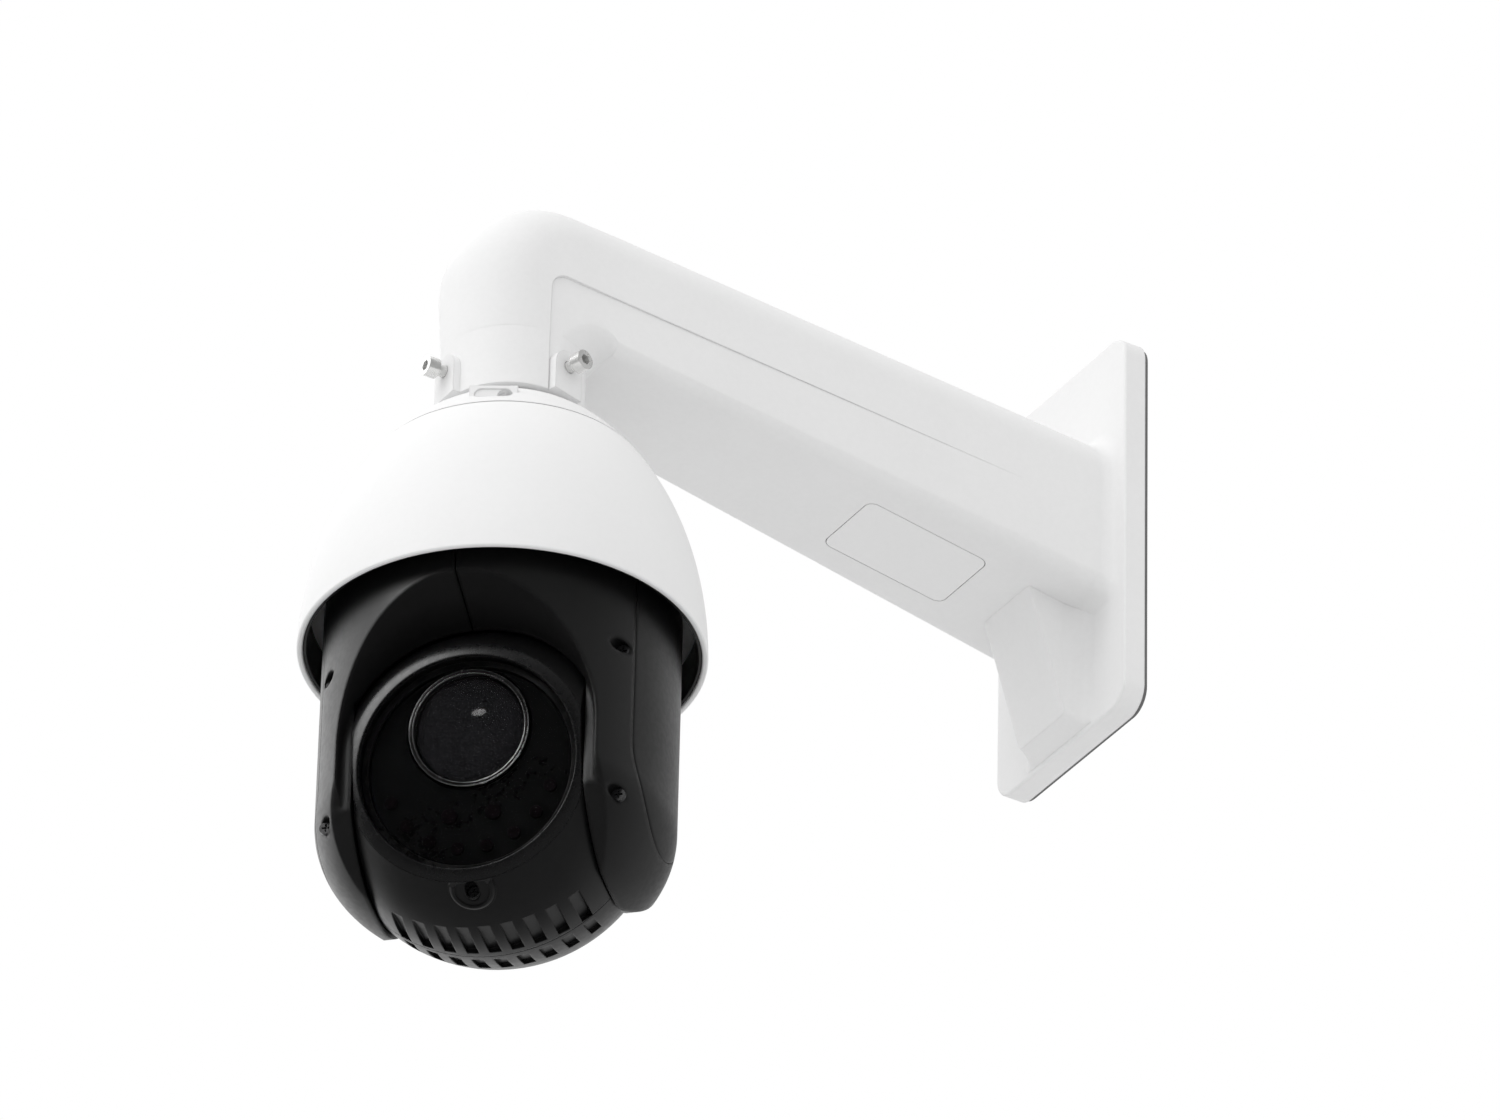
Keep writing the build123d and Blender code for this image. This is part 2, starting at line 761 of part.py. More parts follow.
# Fixed pan gear and the pinion that rolls round it
gear_bottom = chassis_bottom - gear_width
pan_distance = pan_module * (pan_gear_teeth + pan_pinion_teeth) / 2 + 0.05
pan_motor_top = turntable_top + pan_motor_height
motor_point = Vector(0, -reach, 0) - forward * pan_distance
with BuildPart() as pan_gear:
    pan_gear_face = gear_face(
        level(gear_bottom), pan_gear_teeth, pan_module, pan_angle + 90, shaft_radius + fixed_fit
    )
    extrude(pan_gear_face, amount=gear_width)
pan_gear.part.label = "pan_gear"
export_step(pan_gear.part, "parts/pan_gear.step")

with BuildPart() as pan_pinion:
    pinion_turn = pan_angle - 90 + 180 / pan_pinion_teeth
    pinion_plane = Plane(motor_point + upward * gear_bottom)
    extrude(gear_face(pinion_plane, pan_pinion_teeth, pan_module, pinion_turn, 0), amount=gear_width - 0.6)
    tube(Plane(motor_point + upward * (pan_motor_top - 8)), 2.5, 0, gear_bottom - pan_motor_top + 8)
pan_pinion.part.label = "pan_pinion"
export_step(pan_pinion.part, "parts/pan_pinion.step")

with BuildPart() as pan_motor:
    motor_base = Plane(motor_point + upward * turntable_top, x_dir=right, z_dir=upward)
    with BuildSketch(motor_base):
        RectangleRounded(motor_size, motor_size, 3)
    extrude(amount=pan_motor_height)
    tube(motor_base.offset(pan_motor_height), 8, 0, 2)
    tube(motor_base.offset(pan_motor_height - 8.5), 2.5 + running_fit, 0, 12, Mode.SUBTRACT)
pan_motor.part.label = "pan_motor"
export_step(pan_motor.part, "parts/pan_motor.step")

# Pan bearing
bearing_low = turntable_bottom + 1
bearing_middle = Vector(0, -reach, bearing_low + bearing_width / 2)
race_radius = shaft_radius + bearing_ring + 1.3
inner_race = race_radius - 1.3
outer_race = race_radius + 1.3
bearing_radius = outer_race + bearing_ring
with BuildPart() as bearing_inner_ring:
    tube(level(bearing_low), inner_race, shaft_radius + fixed_fit, bearing_width)
    with Locations(bearing_middle):
        Torus(race_radius, bearing_ball_radius + running_fit, mode=Mode.SUBTRACT)
bearing_inner_ring.part.label = "bearing_inner_ring"
export_step(bearing_inner_ring.part, "parts/bearing_inner_ring.step")

with BuildPart() as bearing_outer_ring:
    tube(level(bearing_low), bearing_radius, outer_race, bearing_width)
    with Locations(bearing_middle):
        Torus(race_radius, bearing_ball_radius + running_fit, mode=Mode.SUBTRACT)
bearing_outer_ring.part.label = "bearing_outer_ring"
export_step(bearing_outer_ring.part, "parts/bearing_outer_ring.step")

with BuildPart() as bearing_balls:
    for index in range(bearing_balls_count):
        turn = 2 * pi * index / bearing_balls_count
        with Locations(bearing_middle + Vector(cos(turn), sin(turn), 0) * race_radius):
            Sphere(bearing_ball_radius)
bearing_balls.part.label = "bearing_balls"
export_step(bearing_balls.part, "parts/bearing_balls.step")

# Yoke outlines
yoke_arc_height = tilt_height - yoke_end_radius - 1 + yoke_end_round
shell_screw_distance = yoke_radius - 9
shell_screws = [(angle, shell_screw_distance) for angle in (35, -35, 135, -135)]
front_screw_side = yoke_radius - front_screw_inset
front_screw_seat = seam_forward + 1.2
front_screws = []
for side in (1, -1):
    front_screws.append((side * front_screw_side, front_screw_high, seam_forward - 12))
    front_screws.append((side * front_screw_side, front_screw_low, seam_forward - 25))
bracket_inner = cavity_half_width + yoke_wall + 0.4
bracket_outer = bracket_inner + 3
foot_outer = bracket_outer + 11
foot_screws = [(side * (bracket_outer + 5.5), ahead) for side in (1, -1) for ahead in (-12, 12)]


def yoke_outline(inset):
    """Half section of the yoke that turns about the dome axis."""
    with BuildSketch(dome_section) as outline:
        with BuildLine():
            wall = yoke_radius - inset
            round_centre = yoke_radius - yoke_end_round
            lowest = yoke_arc_height - yoke_end_round + inset
            highest = turntable_bottom + inset
            Polyline(
                (round_centre, lowest),
                (0, lowest),
                (0, highest),
                (wall, highest),
                (wall, yoke_arc_height),
            )
            CenterArc((round_centre, yoke_arc_height), yoke_end_round - inset, -90, 90)
        make_face()
    return outline.sketch


def yoke_side(radius, brow):
    """Side view of the yoke: round ends below, sloped back, open brow above the arch."""
    with BuildSketch(head_side(-1, 0)) as outline:
        with BuildLine():
            back = (-radius * cos(radians(30)), -radius / 2)
            back_height = back[1] + (120 + back[0]) * tan(radians(60))
            CenterArc((0, 0), radius, 210, 150)
            Polyline(
                (radius, 0),
                (radius, brow),
                (120, brow),
                (120, 150),
                (-120, 150),
                (-120, back_height),
                back,
            )
        make_face()
    return outline.sketch


def arch_outline(ahead):
    """Front view of the opening in front of the ball, wider further ahead."""
    radius = arch_radius + arch_slope * (ahead - arch_back)
    with BuildSketch(head_front(ahead)) as outline:
        with BuildLine():
            CenterArc((0, arch_rise), radius, 0, 180)
            Polyline((-radius, arch_rise), (-radius, -120), (radius, -120), (radius, arch_rise))
        make_face()
    return outline.sketch


def seam_outline(grow):
    """Side view of everything behind the seam between the front and rear shells."""
    with BuildSketch(head_side(-1, 0)) as outline:
        with BuildLine():
            ahead = seam_forward + grow
            tail = seam_tail + degrees(asin(grow / ahead))
            end = (ahead * cos(radians(tail)), ahead * sin(radians(tail)))
            far = (end[0] + 90 * cos(radians(seam_tail)), end[1] + 90 * sin(radians(seam_tail)))
            CenterArc((0, 0), ahead, 0, tail - 360)
            Polyline(end, far, (-130, far[1]), (-130, 150), (ahead, 150), (ahead, 0))
        make_face()
    return outline.sketch


def head_point(across, height, ahead):
    """Plane of the head that looks forward at a given place."""
    place = ball_centre + right * across + upward * height + forward * ahead
    return Plane(place, x_dir=right, z_dir=forward)


def head_spot(angle, distance, height):
    """Horizontal plane of the head at an angle from straight ahead."""
    ray = forward * cos(radians(angle)) + right * sin(radians(angle))
    return Plane(ball_centre + ray * distance + upward * height)


def tilt_round(radius, half_width, edge=0.0):
    """Half section of a flat-sided ball that turns about the tilt axis."""
    end_radius = max(edge, sqrt(radius * radius - half_width * half_width))
    arc_side = sqrt(radius * radius - end_radius * end_radius)
    start = degrees(acos(arc_side / radius))
    corners = [(-half_width, end_radius), (-half_width, 0), (half_width, 0), (half_width, end_radius)]
    if edge > 0:
        corners = [(-arc_side, end_radius)] + corners + [(arc_side, end_radius)]
    with BuildSketch(head_front(0)) as outline:
        with BuildLine():
            CenterArc((0, 0), radius, start, 180 - 2 * start)
            Polyline(*corners)
        make_face()
    return outline.sketch


# Space for the ball and its guard inside the yoke
with BuildPart() as ball_space:
    revolve(tilt_round(cavity_radius, cavity_half_width, yoke_end_radius + 1), axis=tilt_axis)

with BuildPart() as ball_guard:
    revolve(tilt_round(cavity_radius + yoke_wall, cavity_half_width + yoke_wall), axis=tilt_axis)

hollow_brow = arch_rise + arch_radius + arch_slope * (yoke_radius - arch_back) + yoke_wall
with BuildPart() as yoke_hollow:
    revolve(yoke_outline(yoke_wall), axis=dome_axis)
    hollow_side = yoke_side(arch_back - yoke_wall, hollow_brow)
    extrude(hollow_side, amount=120, both=True, mode=Mode.INTERSECT)
    add(ball_guard.part, mode=Mode.SUBTRACT)
    for across, height, tip in front_screws:
        side = 1 if across > 0 else -1
        block(head_point(across + side * 4.5, height, tip - 5), 20, 11, 60, Mode.SUBTRACT)
    for angle, distance in shell_screws:
        tube(head_spot(angle, distance, yoke_top - 12), 7.5, 0, 13, Mode.SUBTRACT)

with BuildPart() as yoke_body:
    revolve(yoke_outline(0), axis=dome_axis)
    extrude(yoke_side(yoke_end_radius, 1), amount=120, both=True, mode=Mode.INTERSECT)
    loft([arch_outline(arch_back), arch_outline(yoke_radius + 8)], ruled=True, mode=Mode.SUBTRACT)
    add(ball_space.part, mode=Mode.SUBTRACT)
    add(yoke_hollow.part, mode=Mode.SUBTRACT)
    for side in (1, -1):
        tube(head_side(side, cavity_half_width - 1), axle_radius + 2, 0, 6, Mode.SUBTRACT)
    for across, height, tip in front_screws:
        tube(head_point(across, height, front_screw_seat), 3.1, 0, 40, Mode.SUBTRACT)
        tube(head_point(across, height, tip - 1), 1.4 + screw_fit, 0, 40, Mode.SUBTRACT)
    for angle, distance in shell_screws:
        tube(head_spot(angle, distance, yoke_top - 10), 1.5 + screw_fit, 0, 10, Mode.SUBTRACT)

with BuildPart() as yoke_rear_shell:
    add(yoke_body.part)
    extrude(seam_outline(0), amount=120, both=True, mode=Mode.INTERSECT)
yoke_rear_shell.part.label = "yoke_rear_shell"
export_step(yoke_rear_shell.part, "parts/yoke_rear_shell.step")

with BuildPart() as yoke_front_right:
    add(yoke_body.part)
    extrude(seam_outline(seam_gap), amount=120, both=True, mode=Mode.SUBTRACT)
    with BuildSketch(head_side(1, parting_gap / 2)):
        Rectangle(400, 400)
    extrude(amount=120, mode=Mode.INTERSECT)
yoke_front_right.part.label = "yoke_front_right"
export_step(yoke_front_right.part, "parts/yoke_front_right.step")

with BuildPart() as yoke_front_left:
    add(yoke_body.part)
    extrude(seam_outline(seam_gap), amount=120, both=True, mode=Mode.SUBTRACT)
    with BuildSketch(head_side(-1, parting_gap / 2)):
        Rectangle(400, 400)
    extrude(amount=120, mode=Mode.INTERSECT)
yoke_front_left.part.label = "yoke_front_left"
export_step(yoke_front_left.part, "parts/yoke_front_left.step")

# Yoke screws, sunk from the front
with BuildPart() as yoke_screws:
    for across, height, tip in front_screws:
        tube(head_point(across, height, front_screw_seat), 2.8, 0, 1.6)
        tube(head_point(across, height, tip), 1.4, 0, front_screw_seat - tip)
        block(head_point(across, height, front_screw_seat + 0.8), 3.4, 0.8, 1, Mode.SUBTRACT)
        block(head_point(across, height, front_screw_seat + 0.8), 0.8, 3.4, 1, Mode.SUBTRACT)
yoke_screws.part.label = "yoke_screws"
export_step(yoke_screws.part, "parts/yoke_screws.step")

# Turntable on the pan bearing
hub_radius = bearing_radius + 4
with BuildPart() as turntable:
    tube(level(turntable_bottom), yoke_radius - 0.3, 0, turntable_thickness)
    tube(level(turntable_bottom), hub_radius, 0, bearing_width + 3)
    tube(level(bearing_low), bearing_radius + fixed_fit, 0, bearing_width + 5, Mode.SUBTRACT)
    tube(level(turntable_bottom - 1), outer_race + 0.7, 0, 5, Mode.SUBTRACT)
    for angle, distance in shell_screws:
        tube(head_spot(angle, distance, yoke_top - 1), 1.5 + screw_fit, 0, 10, Mode.SUBTRACT)
    for across, ahead in foot_screws:
        foot_spot = Plane(ball_centre + right * across + forward * ahead + upward * (yoke_top - 1))
        tube(foot_spot, 1.5 + screw_fit, 0, 10, Mode.SUBTRACT)
turntable.part.label = "turntable"
export_step(turntable.part, "parts/turntable.step")

with BuildPart() as turntable_screws:
    for angle, distance in shell_screws:
        tube(head_spot(angle, distance, yoke_top - 9), 1.5, 0, 9 + turntable_thickness)
        tube(head_spot(angle, distance, yoke_top + turntable_thickness), 2.75, 0, 2)
    for across, ahead in foot_screws:
        foot_spot = Plane(ball_centre + right * across + forward * ahead + upward * (yoke_top - 3.5))
        tube(foot_spot, 1.5, 0, 3.5 + turntable_thickness)
        tube(foot_spot.offset(3.5 + turntable_thickness), 2.75, 0, 2)
turntable_screws.part.label = "turntable_screws"
export_step(turntable_screws.part, "parts/turntable_screws.step")

# Tilt brackets under the turntable, one in each arm
bushing_radius = axle_radius + 1.8
bushing_outer = bracket_inner + 7
for side, side_name in ((1, "right"), (-1, "left")):
    with BuildPart() as tilt_bracket:
        with BuildSketch(head_side(side, bracket_inner)):
            Circle(18)
            with Locations((0, yoke_top / 2)):
                Rectangle(36, yoke_top)
        extrude(amount=3)
        with BuildSketch(head_side(side, bracket_inner)):
            with Locations((0, yoke_top - 1.5)):
                Rectangle(36, 3)
        extrude(amount=foot_outer - bracket_inner)
        tube(head_side(side, bracket_inner), bushing_radius + 2, 0, bushing_outer - bracket_inner)
        tube(head_side(side, bracket_inner - 1), bushing_radius + fixed_fit, 0, 12, Mode.SUBTRACT)
        for across, ahead in foot_screws:
            foot_spot = Plane(ball_centre + right * across + forward * ahead + upward * (yoke_top - 4))
            tube(foot_spot, 1.5 + screw_fit, 0, 5, Mode.SUBTRACT)
    tilt_bracket.part.label = "tilt_bracket_" + side_name
    export_step(tilt_bracket.part, "parts/tilt_bracket_" + side_name + ".step")

with BuildPart() as tilt_bushings:
    for side in (1, -1):
        bushing_base = head_side(side, bracket_inner)
        tube(bushing_base, bushing_radius, axle_radius + running_fit, bushing_outer - bracket_inner)
tilt_bushings.part.label = "tilt_bushings"
export_step(tilt_bushings.part, "parts/tilt_bushings.step")

# Tilt motor, pinion and gear in the right arm
tilt_distance = tilt_module * (tilt_gear_teeth + tilt_pinion_teeth) / 2 + 0.05
tilt_gear_start = bracket_outer + tilt_motor_length + 1.2
motor_axis_plane = Plane(
    ball_centre + upward * tilt_distance + right * bracket_outer, x_dir=forward * -1, z_dir=right
)
with BuildPart() as tilt_motor:
    with BuildSketch(motor_axis_plane):
        RectangleRounded(motor_size, motor_size, 3)
    extrude(amount=tilt_motor_length)
    tube(motor_axis_plane.offset(tilt_motor_length), 5, 0, 0.8)
    tube(motor_axis_plane.offset(2), 1.5 + running_fit, 0, 12, Mode.SUBTRACT)
tilt_motor.part.label = "tilt_motor"
export_step(tilt_motor.part, "parts/tilt_motor.step")

with BuildPart() as tilt_pinion:
    pinion_plane = motor_axis_plane.offset(tilt_gear_start - bracket_outer)
    pinion_turn = 270 + 180 / tilt_pinion_teeth
    extrude(gear_face(pinion_plane, tilt_pinion_teeth, tilt_module, pinion_turn, 0), amount=tilt_gear_width)
    tube(motor_axis_plane.offset(3), 1.5, 0, tilt_gear_start - bracket_outer - 3)
tilt_pinion.part.label = "tilt_pinion"
export_step(tilt_pinion.part, "parts/tilt_pinion.step")

with BuildPart() as tilt_gear:
    tilt_gear_face = gear_face(
        head_side(1, tilt_gear_start), tilt_gear_teeth, tilt_module, 90, axle_radius + fixed_fit
    )
    extrude(tilt_gear_face, amount=tilt_gear_width)
tilt_gear.part.label = "tilt_gear"
export_step(tilt_gear.part, "parts/tilt_gear.step")

# Axles of the ball
ball_inner_side = ball_half_width - ball_wall
axle_ends = {1: tilt_gear_start + tilt_gear_width + 0.5, -1: bushing_outer + 1}
for side, side_name in ((1, "right"), (-1, "left")):
    with BuildPart() as tilt_axle:
        tube(head_side(side, ball_inner_side - 3), axle_radius + 8, axle_radius - 2, 3)
        axle_length = axle_ends[side] - ball_inner_side
        tube(head_side(side, ball_inner_side), axle_radius, axle_radius - 2, axle_length)
    tilt_axle.part.label = "tilt_axle_" + side_name
    export_step(tilt_axle.part, "parts/tilt_axle_" + side_name + ".step")

# Ball shells
glass_back = window_distance - window_thickness
lip_front = glass_back - window_seal_thickness
lip_back = lip_front - window_lip
lip_radius = window_radius - 2.7
ball_seam = 5.0
boss_drop = ball_radius * sin(radians(boss_angle))
boss_seat = window_distance - 8

with BuildPart() as ball_hollow:
    revolve(tilt_round(ball_radius - ball_wall, ball_inner_side), axis=tilt_axis)
    block(ball_front(lip_back), 400, 400, 100, Mode.SUBTRACT)
    with BuildSketch(ball_front(-12)):
        with Locations((0, -boss_drop - 10)):
            Rectangle(11, 31)
    extrude(amount=80, mode=Mode.SUBTRACT)



def groove_plane(index, row_angle, ramp):
    """Floor of one groove in a row across the ball's underside."""
    across = (index - (groove_count - 1) / 2) * groove_pitch
    row_ray = sight * cos(radians(row_angle)) - crown * sin(radians(row_angle))
    lean = asin(across / ball_radius)
    ray = right * sin(lean) + row_ray * cos(lean)
    tangent = right * cos(lean) - row_ray * sin(lean)
    floor = Plane(ball_centre + ray * (ball_radius - groove_depth), x_dir=tangent, z_dir=ray)
    return floor.rotated((ramp, 0, 0))


with BuildPart() as front_grooves:
    for index in range(groove_count):
        block(groove_plane(index, front_groove_angle, groove_ramp), groove_width, front_groove_length, 6)

with BuildPart() as rear_grooves:
    for index in range(groove_count):
        block(groove_plane(index, rear_groove_angle, 0), groove_width, rear_groove_length, 6)

with BuildPart() as ball_body:
    revolve(tilt_round(ball_radius, ball_half_width), axis=tilt_axis)
    boss_ray = sight * cos(radians(boss_angle)) - crown * sin(radians(boss_angle))
    boss_base = Plane(ball_centre + boss_ray * (ball_radius - 6), x_dir=right, z_dir=boss_ray)
    tube(boss_base, boss_pad_radius, 0, 6 + boss_pad_rise)
    block(ball_front(window_distance), 400, 400, 100, Mode.SUBTRACT)
    add(ball_hollow.part, mode=Mode.SUBTRACT)
    tube(ball_front(lip_front), window_radius + window_gap, 0, 20, Mode.SUBTRACT)
    tube(ball_front(lip_back - 1), lip_radius, 0, 20, Mode.SUBTRACT)
    for side in (1, -1):
        tube(head_side(side, ball_inner_side - 4), axle_radius + fixed_fit, 0, 20, Mode.SUBTRACT)
    with BuildSketch(ball_front(boss_seat)):
        with Locations((0, -boss_drop)):
            Circle(2.8)
    extrude(amount=40, mode=Mode.SUBTRACT)
    with BuildSketch(ball_front(-10)):
        with Locations((0, -boss_drop)):
            Circle(1.5 + screw_fit)
    extrude(amount=60, mode=Mode.SUBTRACT)

with BuildPart() as ball_front_shell:
    add(ball_body.part)
    block(ball_front(ball_seam - 100 + seam_gap / 2), 400, 400, 100, Mode.SUBTRACT)
    add(front_grooves.part, mode=Mode.SUBTRACT)
ball_front_shell.part.label = "ball_front_shell"
export_step(ball_front_shell.part, "parts/ball_front_shell.step")

with BuildPart() as ball_rear_shell:
    add(ball_body.part)
    block(ball_front(ball_seam - seam_gap / 2), 400, 400, 200, Mode.SUBTRACT)
    add(rear_grooves.part, mode=Mode.SUBTRACT)
ball_rear_shell.part.label = "ball_rear_shell"
export_step(ball_rear_shell.part, "parts/ball_rear_shell.step")

with BuildPart() as ball_screw:
    screw_spot = Plane(ball_front(boss_seat).origin - crown * boss_drop, x_dir=right, z_dir=sight)
    tube(screw_spot, 2.5, 0, 2)
    tube(screw_spot.offset(-42), 1.5, 0, 42)
    block(screw_spot.offset(1), 3.4, 0.8, 1, Mode.SUBTRACT)
    block(screw_spot.offset(1), 0.8, 3.4, 1, Mode.SUBTRACT)
ball_screw.part.label = "ball_screw"
export_step(ball_screw.part, "parts/ball_screw.step")

# Window, its seal and the front frame
with BuildPart() as window_glass:
    tube(ball_front(glass_back), window_radius, 0, window_thickness)
window_glass.part.label = "window_glass"
export_step(window_glass.part, "parts/window_glass.step")

with BuildPart() as window_seal:
    tube(ball_front(lip_front), window_radius - 0.3, lip_radius + 0.2, window_seal_thickness)
window_seal.part.label = "window_seal"
export_step(window_seal.part, "parts/window_seal.step")


def lens_front(distance):
    """Plane of the ball on the lens axis."""
    return Plane(ball_centre + sight * distance + crown * lens_offset, x_dir=right, z_dir=sight)


frame_back = lip_back - 3
frame_radius = ball_inner_side - 0.5
with BuildPart() as front_frame:
    tube(ball_front(frame_back), frame_radius, 0, 3)
    tube(lens_front(frame_back - 1), hood_radius + 0.15, 0, 6, Mode.SUBTRACT)
front_frame.part.label = "front_frame"
export_step(front_frame.part, "parts/front_frame.step")

with BuildPart() as infrared_board:
    tube(ball_front(lip_back), lip_radius - 0.5, 0, 1.6)
    tube(lens_front(lip_back - 1), hood_radius + 0.9, 0, 6, Mode.SUBTRACT)
infrared_board.part.label = "infrared_board"
export_step(infrared_board.part, "parts/infrared_board.step")

with BuildPart() as infrared_leds:
    with BuildSketch(ball_front(lip_back + 1.6)):
        for index in range(8):
            turn = radians(200 + 20 * index)
            with Locations((0.78 * window_radius * cos(turn), 0.78 * window_radius * sin(turn))):
                Circle(2.6)
        with Locations((-9, -20), (9, -20)):
            Circle(3.2)
    extrude(amount=1.4)
infrared_leds.part.label = "infrared_leds"
export_step(infrared_leds.part, "parts/infrared_leds.step")

# Lens: hood, barrel, glass groups and camera block
barrel_front = frame_back + 2.5
barrel_back = barrel_front - barrel_length
barrel_bore = barrel_radius - barrel_wall
with BuildPart() as lens_hood:
    tube(lens_front(frame_back), hood_radius, hood_radius - hood_wall, glass_back - 0.1 - frame_back)
lens_hood.part.label = "lens_hood"
export_step(lens_hood.part, "parts/lens_hood.step")

with BuildPart() as lens_barrel:
    tube(lens_front(barrel_back), barrel_radius, barrel_bore, barrel_length)
    tube(lens_front(frame_back - 2), hood_radius + 2.4, barrel_bore, 2)
lens_barrel.part.label = "lens_barrel"
export_step(lens_barrel.part, "parts/lens_barrel.step")

with BuildPart() as front_lens:
    tube(lens_front(barrel_front - 8), barrel_bore - fixed_fit, 0, 8)
    lens_curve = 40.0
    with Locations(lens_front(barrel_front - 1 - lens_curve)):
        Sphere(lens_curve, mode=Mode.INTERSECT)
front_lens.part.label = "front_lens"
export_step(front_lens.part, "parts/front_lens.step")

with BuildPart() as zoom_group:
    tube(lens_front(barrel_back + 30), barrel_bore - running_fit, 0, 6)
    with Locations(lens_front(barrel_back + 36 - 45)):
        Sphere(45, mode=Mode.INTERSECT)
zoom_group.part.label = "zoom_group"
export_step(zoom_group.part, "parts/zoom_group.step")

with BuildPart() as focus_group:
    tube(lens_front(barrel_back + 12), barrel_bore - running_fit, 0, 5)
    with Locations(lens_front(barrel_back + 17 - 60)):
        Sphere(60, mode=Mode.INTERSECT)
focus_group.part.label = "focus_group"
export_step(focus_group.part, "parts/focus_group.step")

with BuildPart() as filter_slide:
    filter_plane = lens_front(barrel_back + 0.4)
    with BuildSketch(filter_plane):
        with Locations((-4, 0)):
            Rectangle(16, 9)
    extrude(amount=1)
filter_slide.part.label = "filter_slide"
export_step(filter_slide.part, "parts/filter_slide.step")

with BuildPart() as camera_block:
    with BuildSketch(lens_front(barrel_back)):
        RectangleRounded(46, 46, 3)
    extrude(amount=-24)
camera_block.part.label = "camera_block"
export_step(camera_block.part, "parts/camera_block.step")

with BuildPart() as sensor_board:
    with BuildSketch(lens_front(barrel_back - 24)):
        Rectangle(40, 40)
    extrude(amount=-1.6)
    with BuildSketch(lens_front(barrel_back - 25.6)):
        Rectangle(14, 14)
    extrude(amount=-1.2)
sensor_board.part.label = "sensor_board"
export_step(sensor_board.part, "parts/sensor_board.step")
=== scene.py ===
"""Looks of a pan-tilt dome camera on its wall bracket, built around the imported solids."""

import logging
import math
from abc import ABC, abstractmethod
from dataclasses import dataclass
from enum import Enum

import bmesh
import bpy
from mathutils import Matrix, Vector


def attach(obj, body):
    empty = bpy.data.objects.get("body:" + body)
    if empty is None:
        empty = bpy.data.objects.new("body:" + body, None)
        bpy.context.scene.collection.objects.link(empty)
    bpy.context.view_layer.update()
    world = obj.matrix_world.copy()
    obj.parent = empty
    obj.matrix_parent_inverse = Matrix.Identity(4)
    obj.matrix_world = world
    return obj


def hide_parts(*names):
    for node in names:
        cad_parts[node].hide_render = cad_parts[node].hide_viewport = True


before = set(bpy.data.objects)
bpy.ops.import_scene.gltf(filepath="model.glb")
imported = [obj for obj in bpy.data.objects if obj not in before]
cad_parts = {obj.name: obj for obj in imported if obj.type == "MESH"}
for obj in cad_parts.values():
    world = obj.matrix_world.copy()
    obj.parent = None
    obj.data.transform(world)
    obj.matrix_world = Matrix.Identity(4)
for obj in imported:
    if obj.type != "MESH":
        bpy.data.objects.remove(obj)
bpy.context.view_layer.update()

log = logging.getLogger("dome_camera")

Pair = tuple[float, float]
Triple = tuple[float, float, float]
MM = 0.001
NOISE_ROUGHNESS = 0.55
BEVEL_SAMPLES = 4
EVEN: Triple = (1.0, 1.0, 1.0)


class Grain(Enum):
    """How a surface is broken up at close range."""

    ORANGE_PEEL = "orange_peel"
    SPARK_ERODED = "spark_eroded"
    PLAIN = "plain"


class Signal:
    """A shader socket that takes part in Python arithmetic."""

    def __init__(self, graph: "Graph", socket: bpy.types.NodeSocket) -> None:
        """Keeps the socket and the graph that it belongs to.

        Args:
            graph: The node graph that new nodes go into.
            socket: The output socket that carries the value.
        """
        self.graph = graph
        self.socket = socket

    def _join(self, operation: str, first: "Operand", second: "Operand") -> "Signal":
        """Adds one Math node.

        Args:
            operation: The node's operation.
            first: Left operand.
            second: Right operand.

        Returns:
            The node's result.
        """
        node = self.graph.node("ShaderNodeMath", {"operation": operation}, {0: first, 1: second})
        return Signal(self.graph, node.outputs[0])

    def __add__(self, other: "Operand") -> "Signal":
        """Sum of two values."""
        return self._join("ADD", self, other)

    def __radd__(self, other: "Operand") -> "Signal":
        """Sum with a number on the left."""
        return self._join("ADD", other, self)

    def __sub__(self, other: "Operand") -> "Signal":
        """Difference of two values."""
        return self._join("SUBTRACT", self, other)

    def __rsub__(self, other: "Operand") -> "Signal":
        """Difference with a number on the left."""
        return self._join("SUBTRACT", other, self)

    def __mul__(self, other: "Operand") -> "Signal":
        """Product of two values."""
        return self._join("MULTIPLY", self, other)

    def __rmul__(self, other: "Operand") -> "Signal":
        """Product with a number on the left."""
        return self._join("MULTIPLY", other, self)

    def ramp(self, low: float, high: float) -> "Signal":
        """Rises smoothly from 0 at low to 1 at high.

        Args:
            low: Value that gives 0.
            high: Value that gives 1.

        Returns:
            The eased value.
        """
        settings = {"interpolation_type": "SMOOTHSTEP"}
        inputs = {0: self, 1: low, 2: high, 3: 0.0, 4: 1.0}
        node = self.graph.node("ShaderNodeMapRange", settings, inputs)
        return Signal(self.graph, node.outputs[0])


Operand = Signal | float


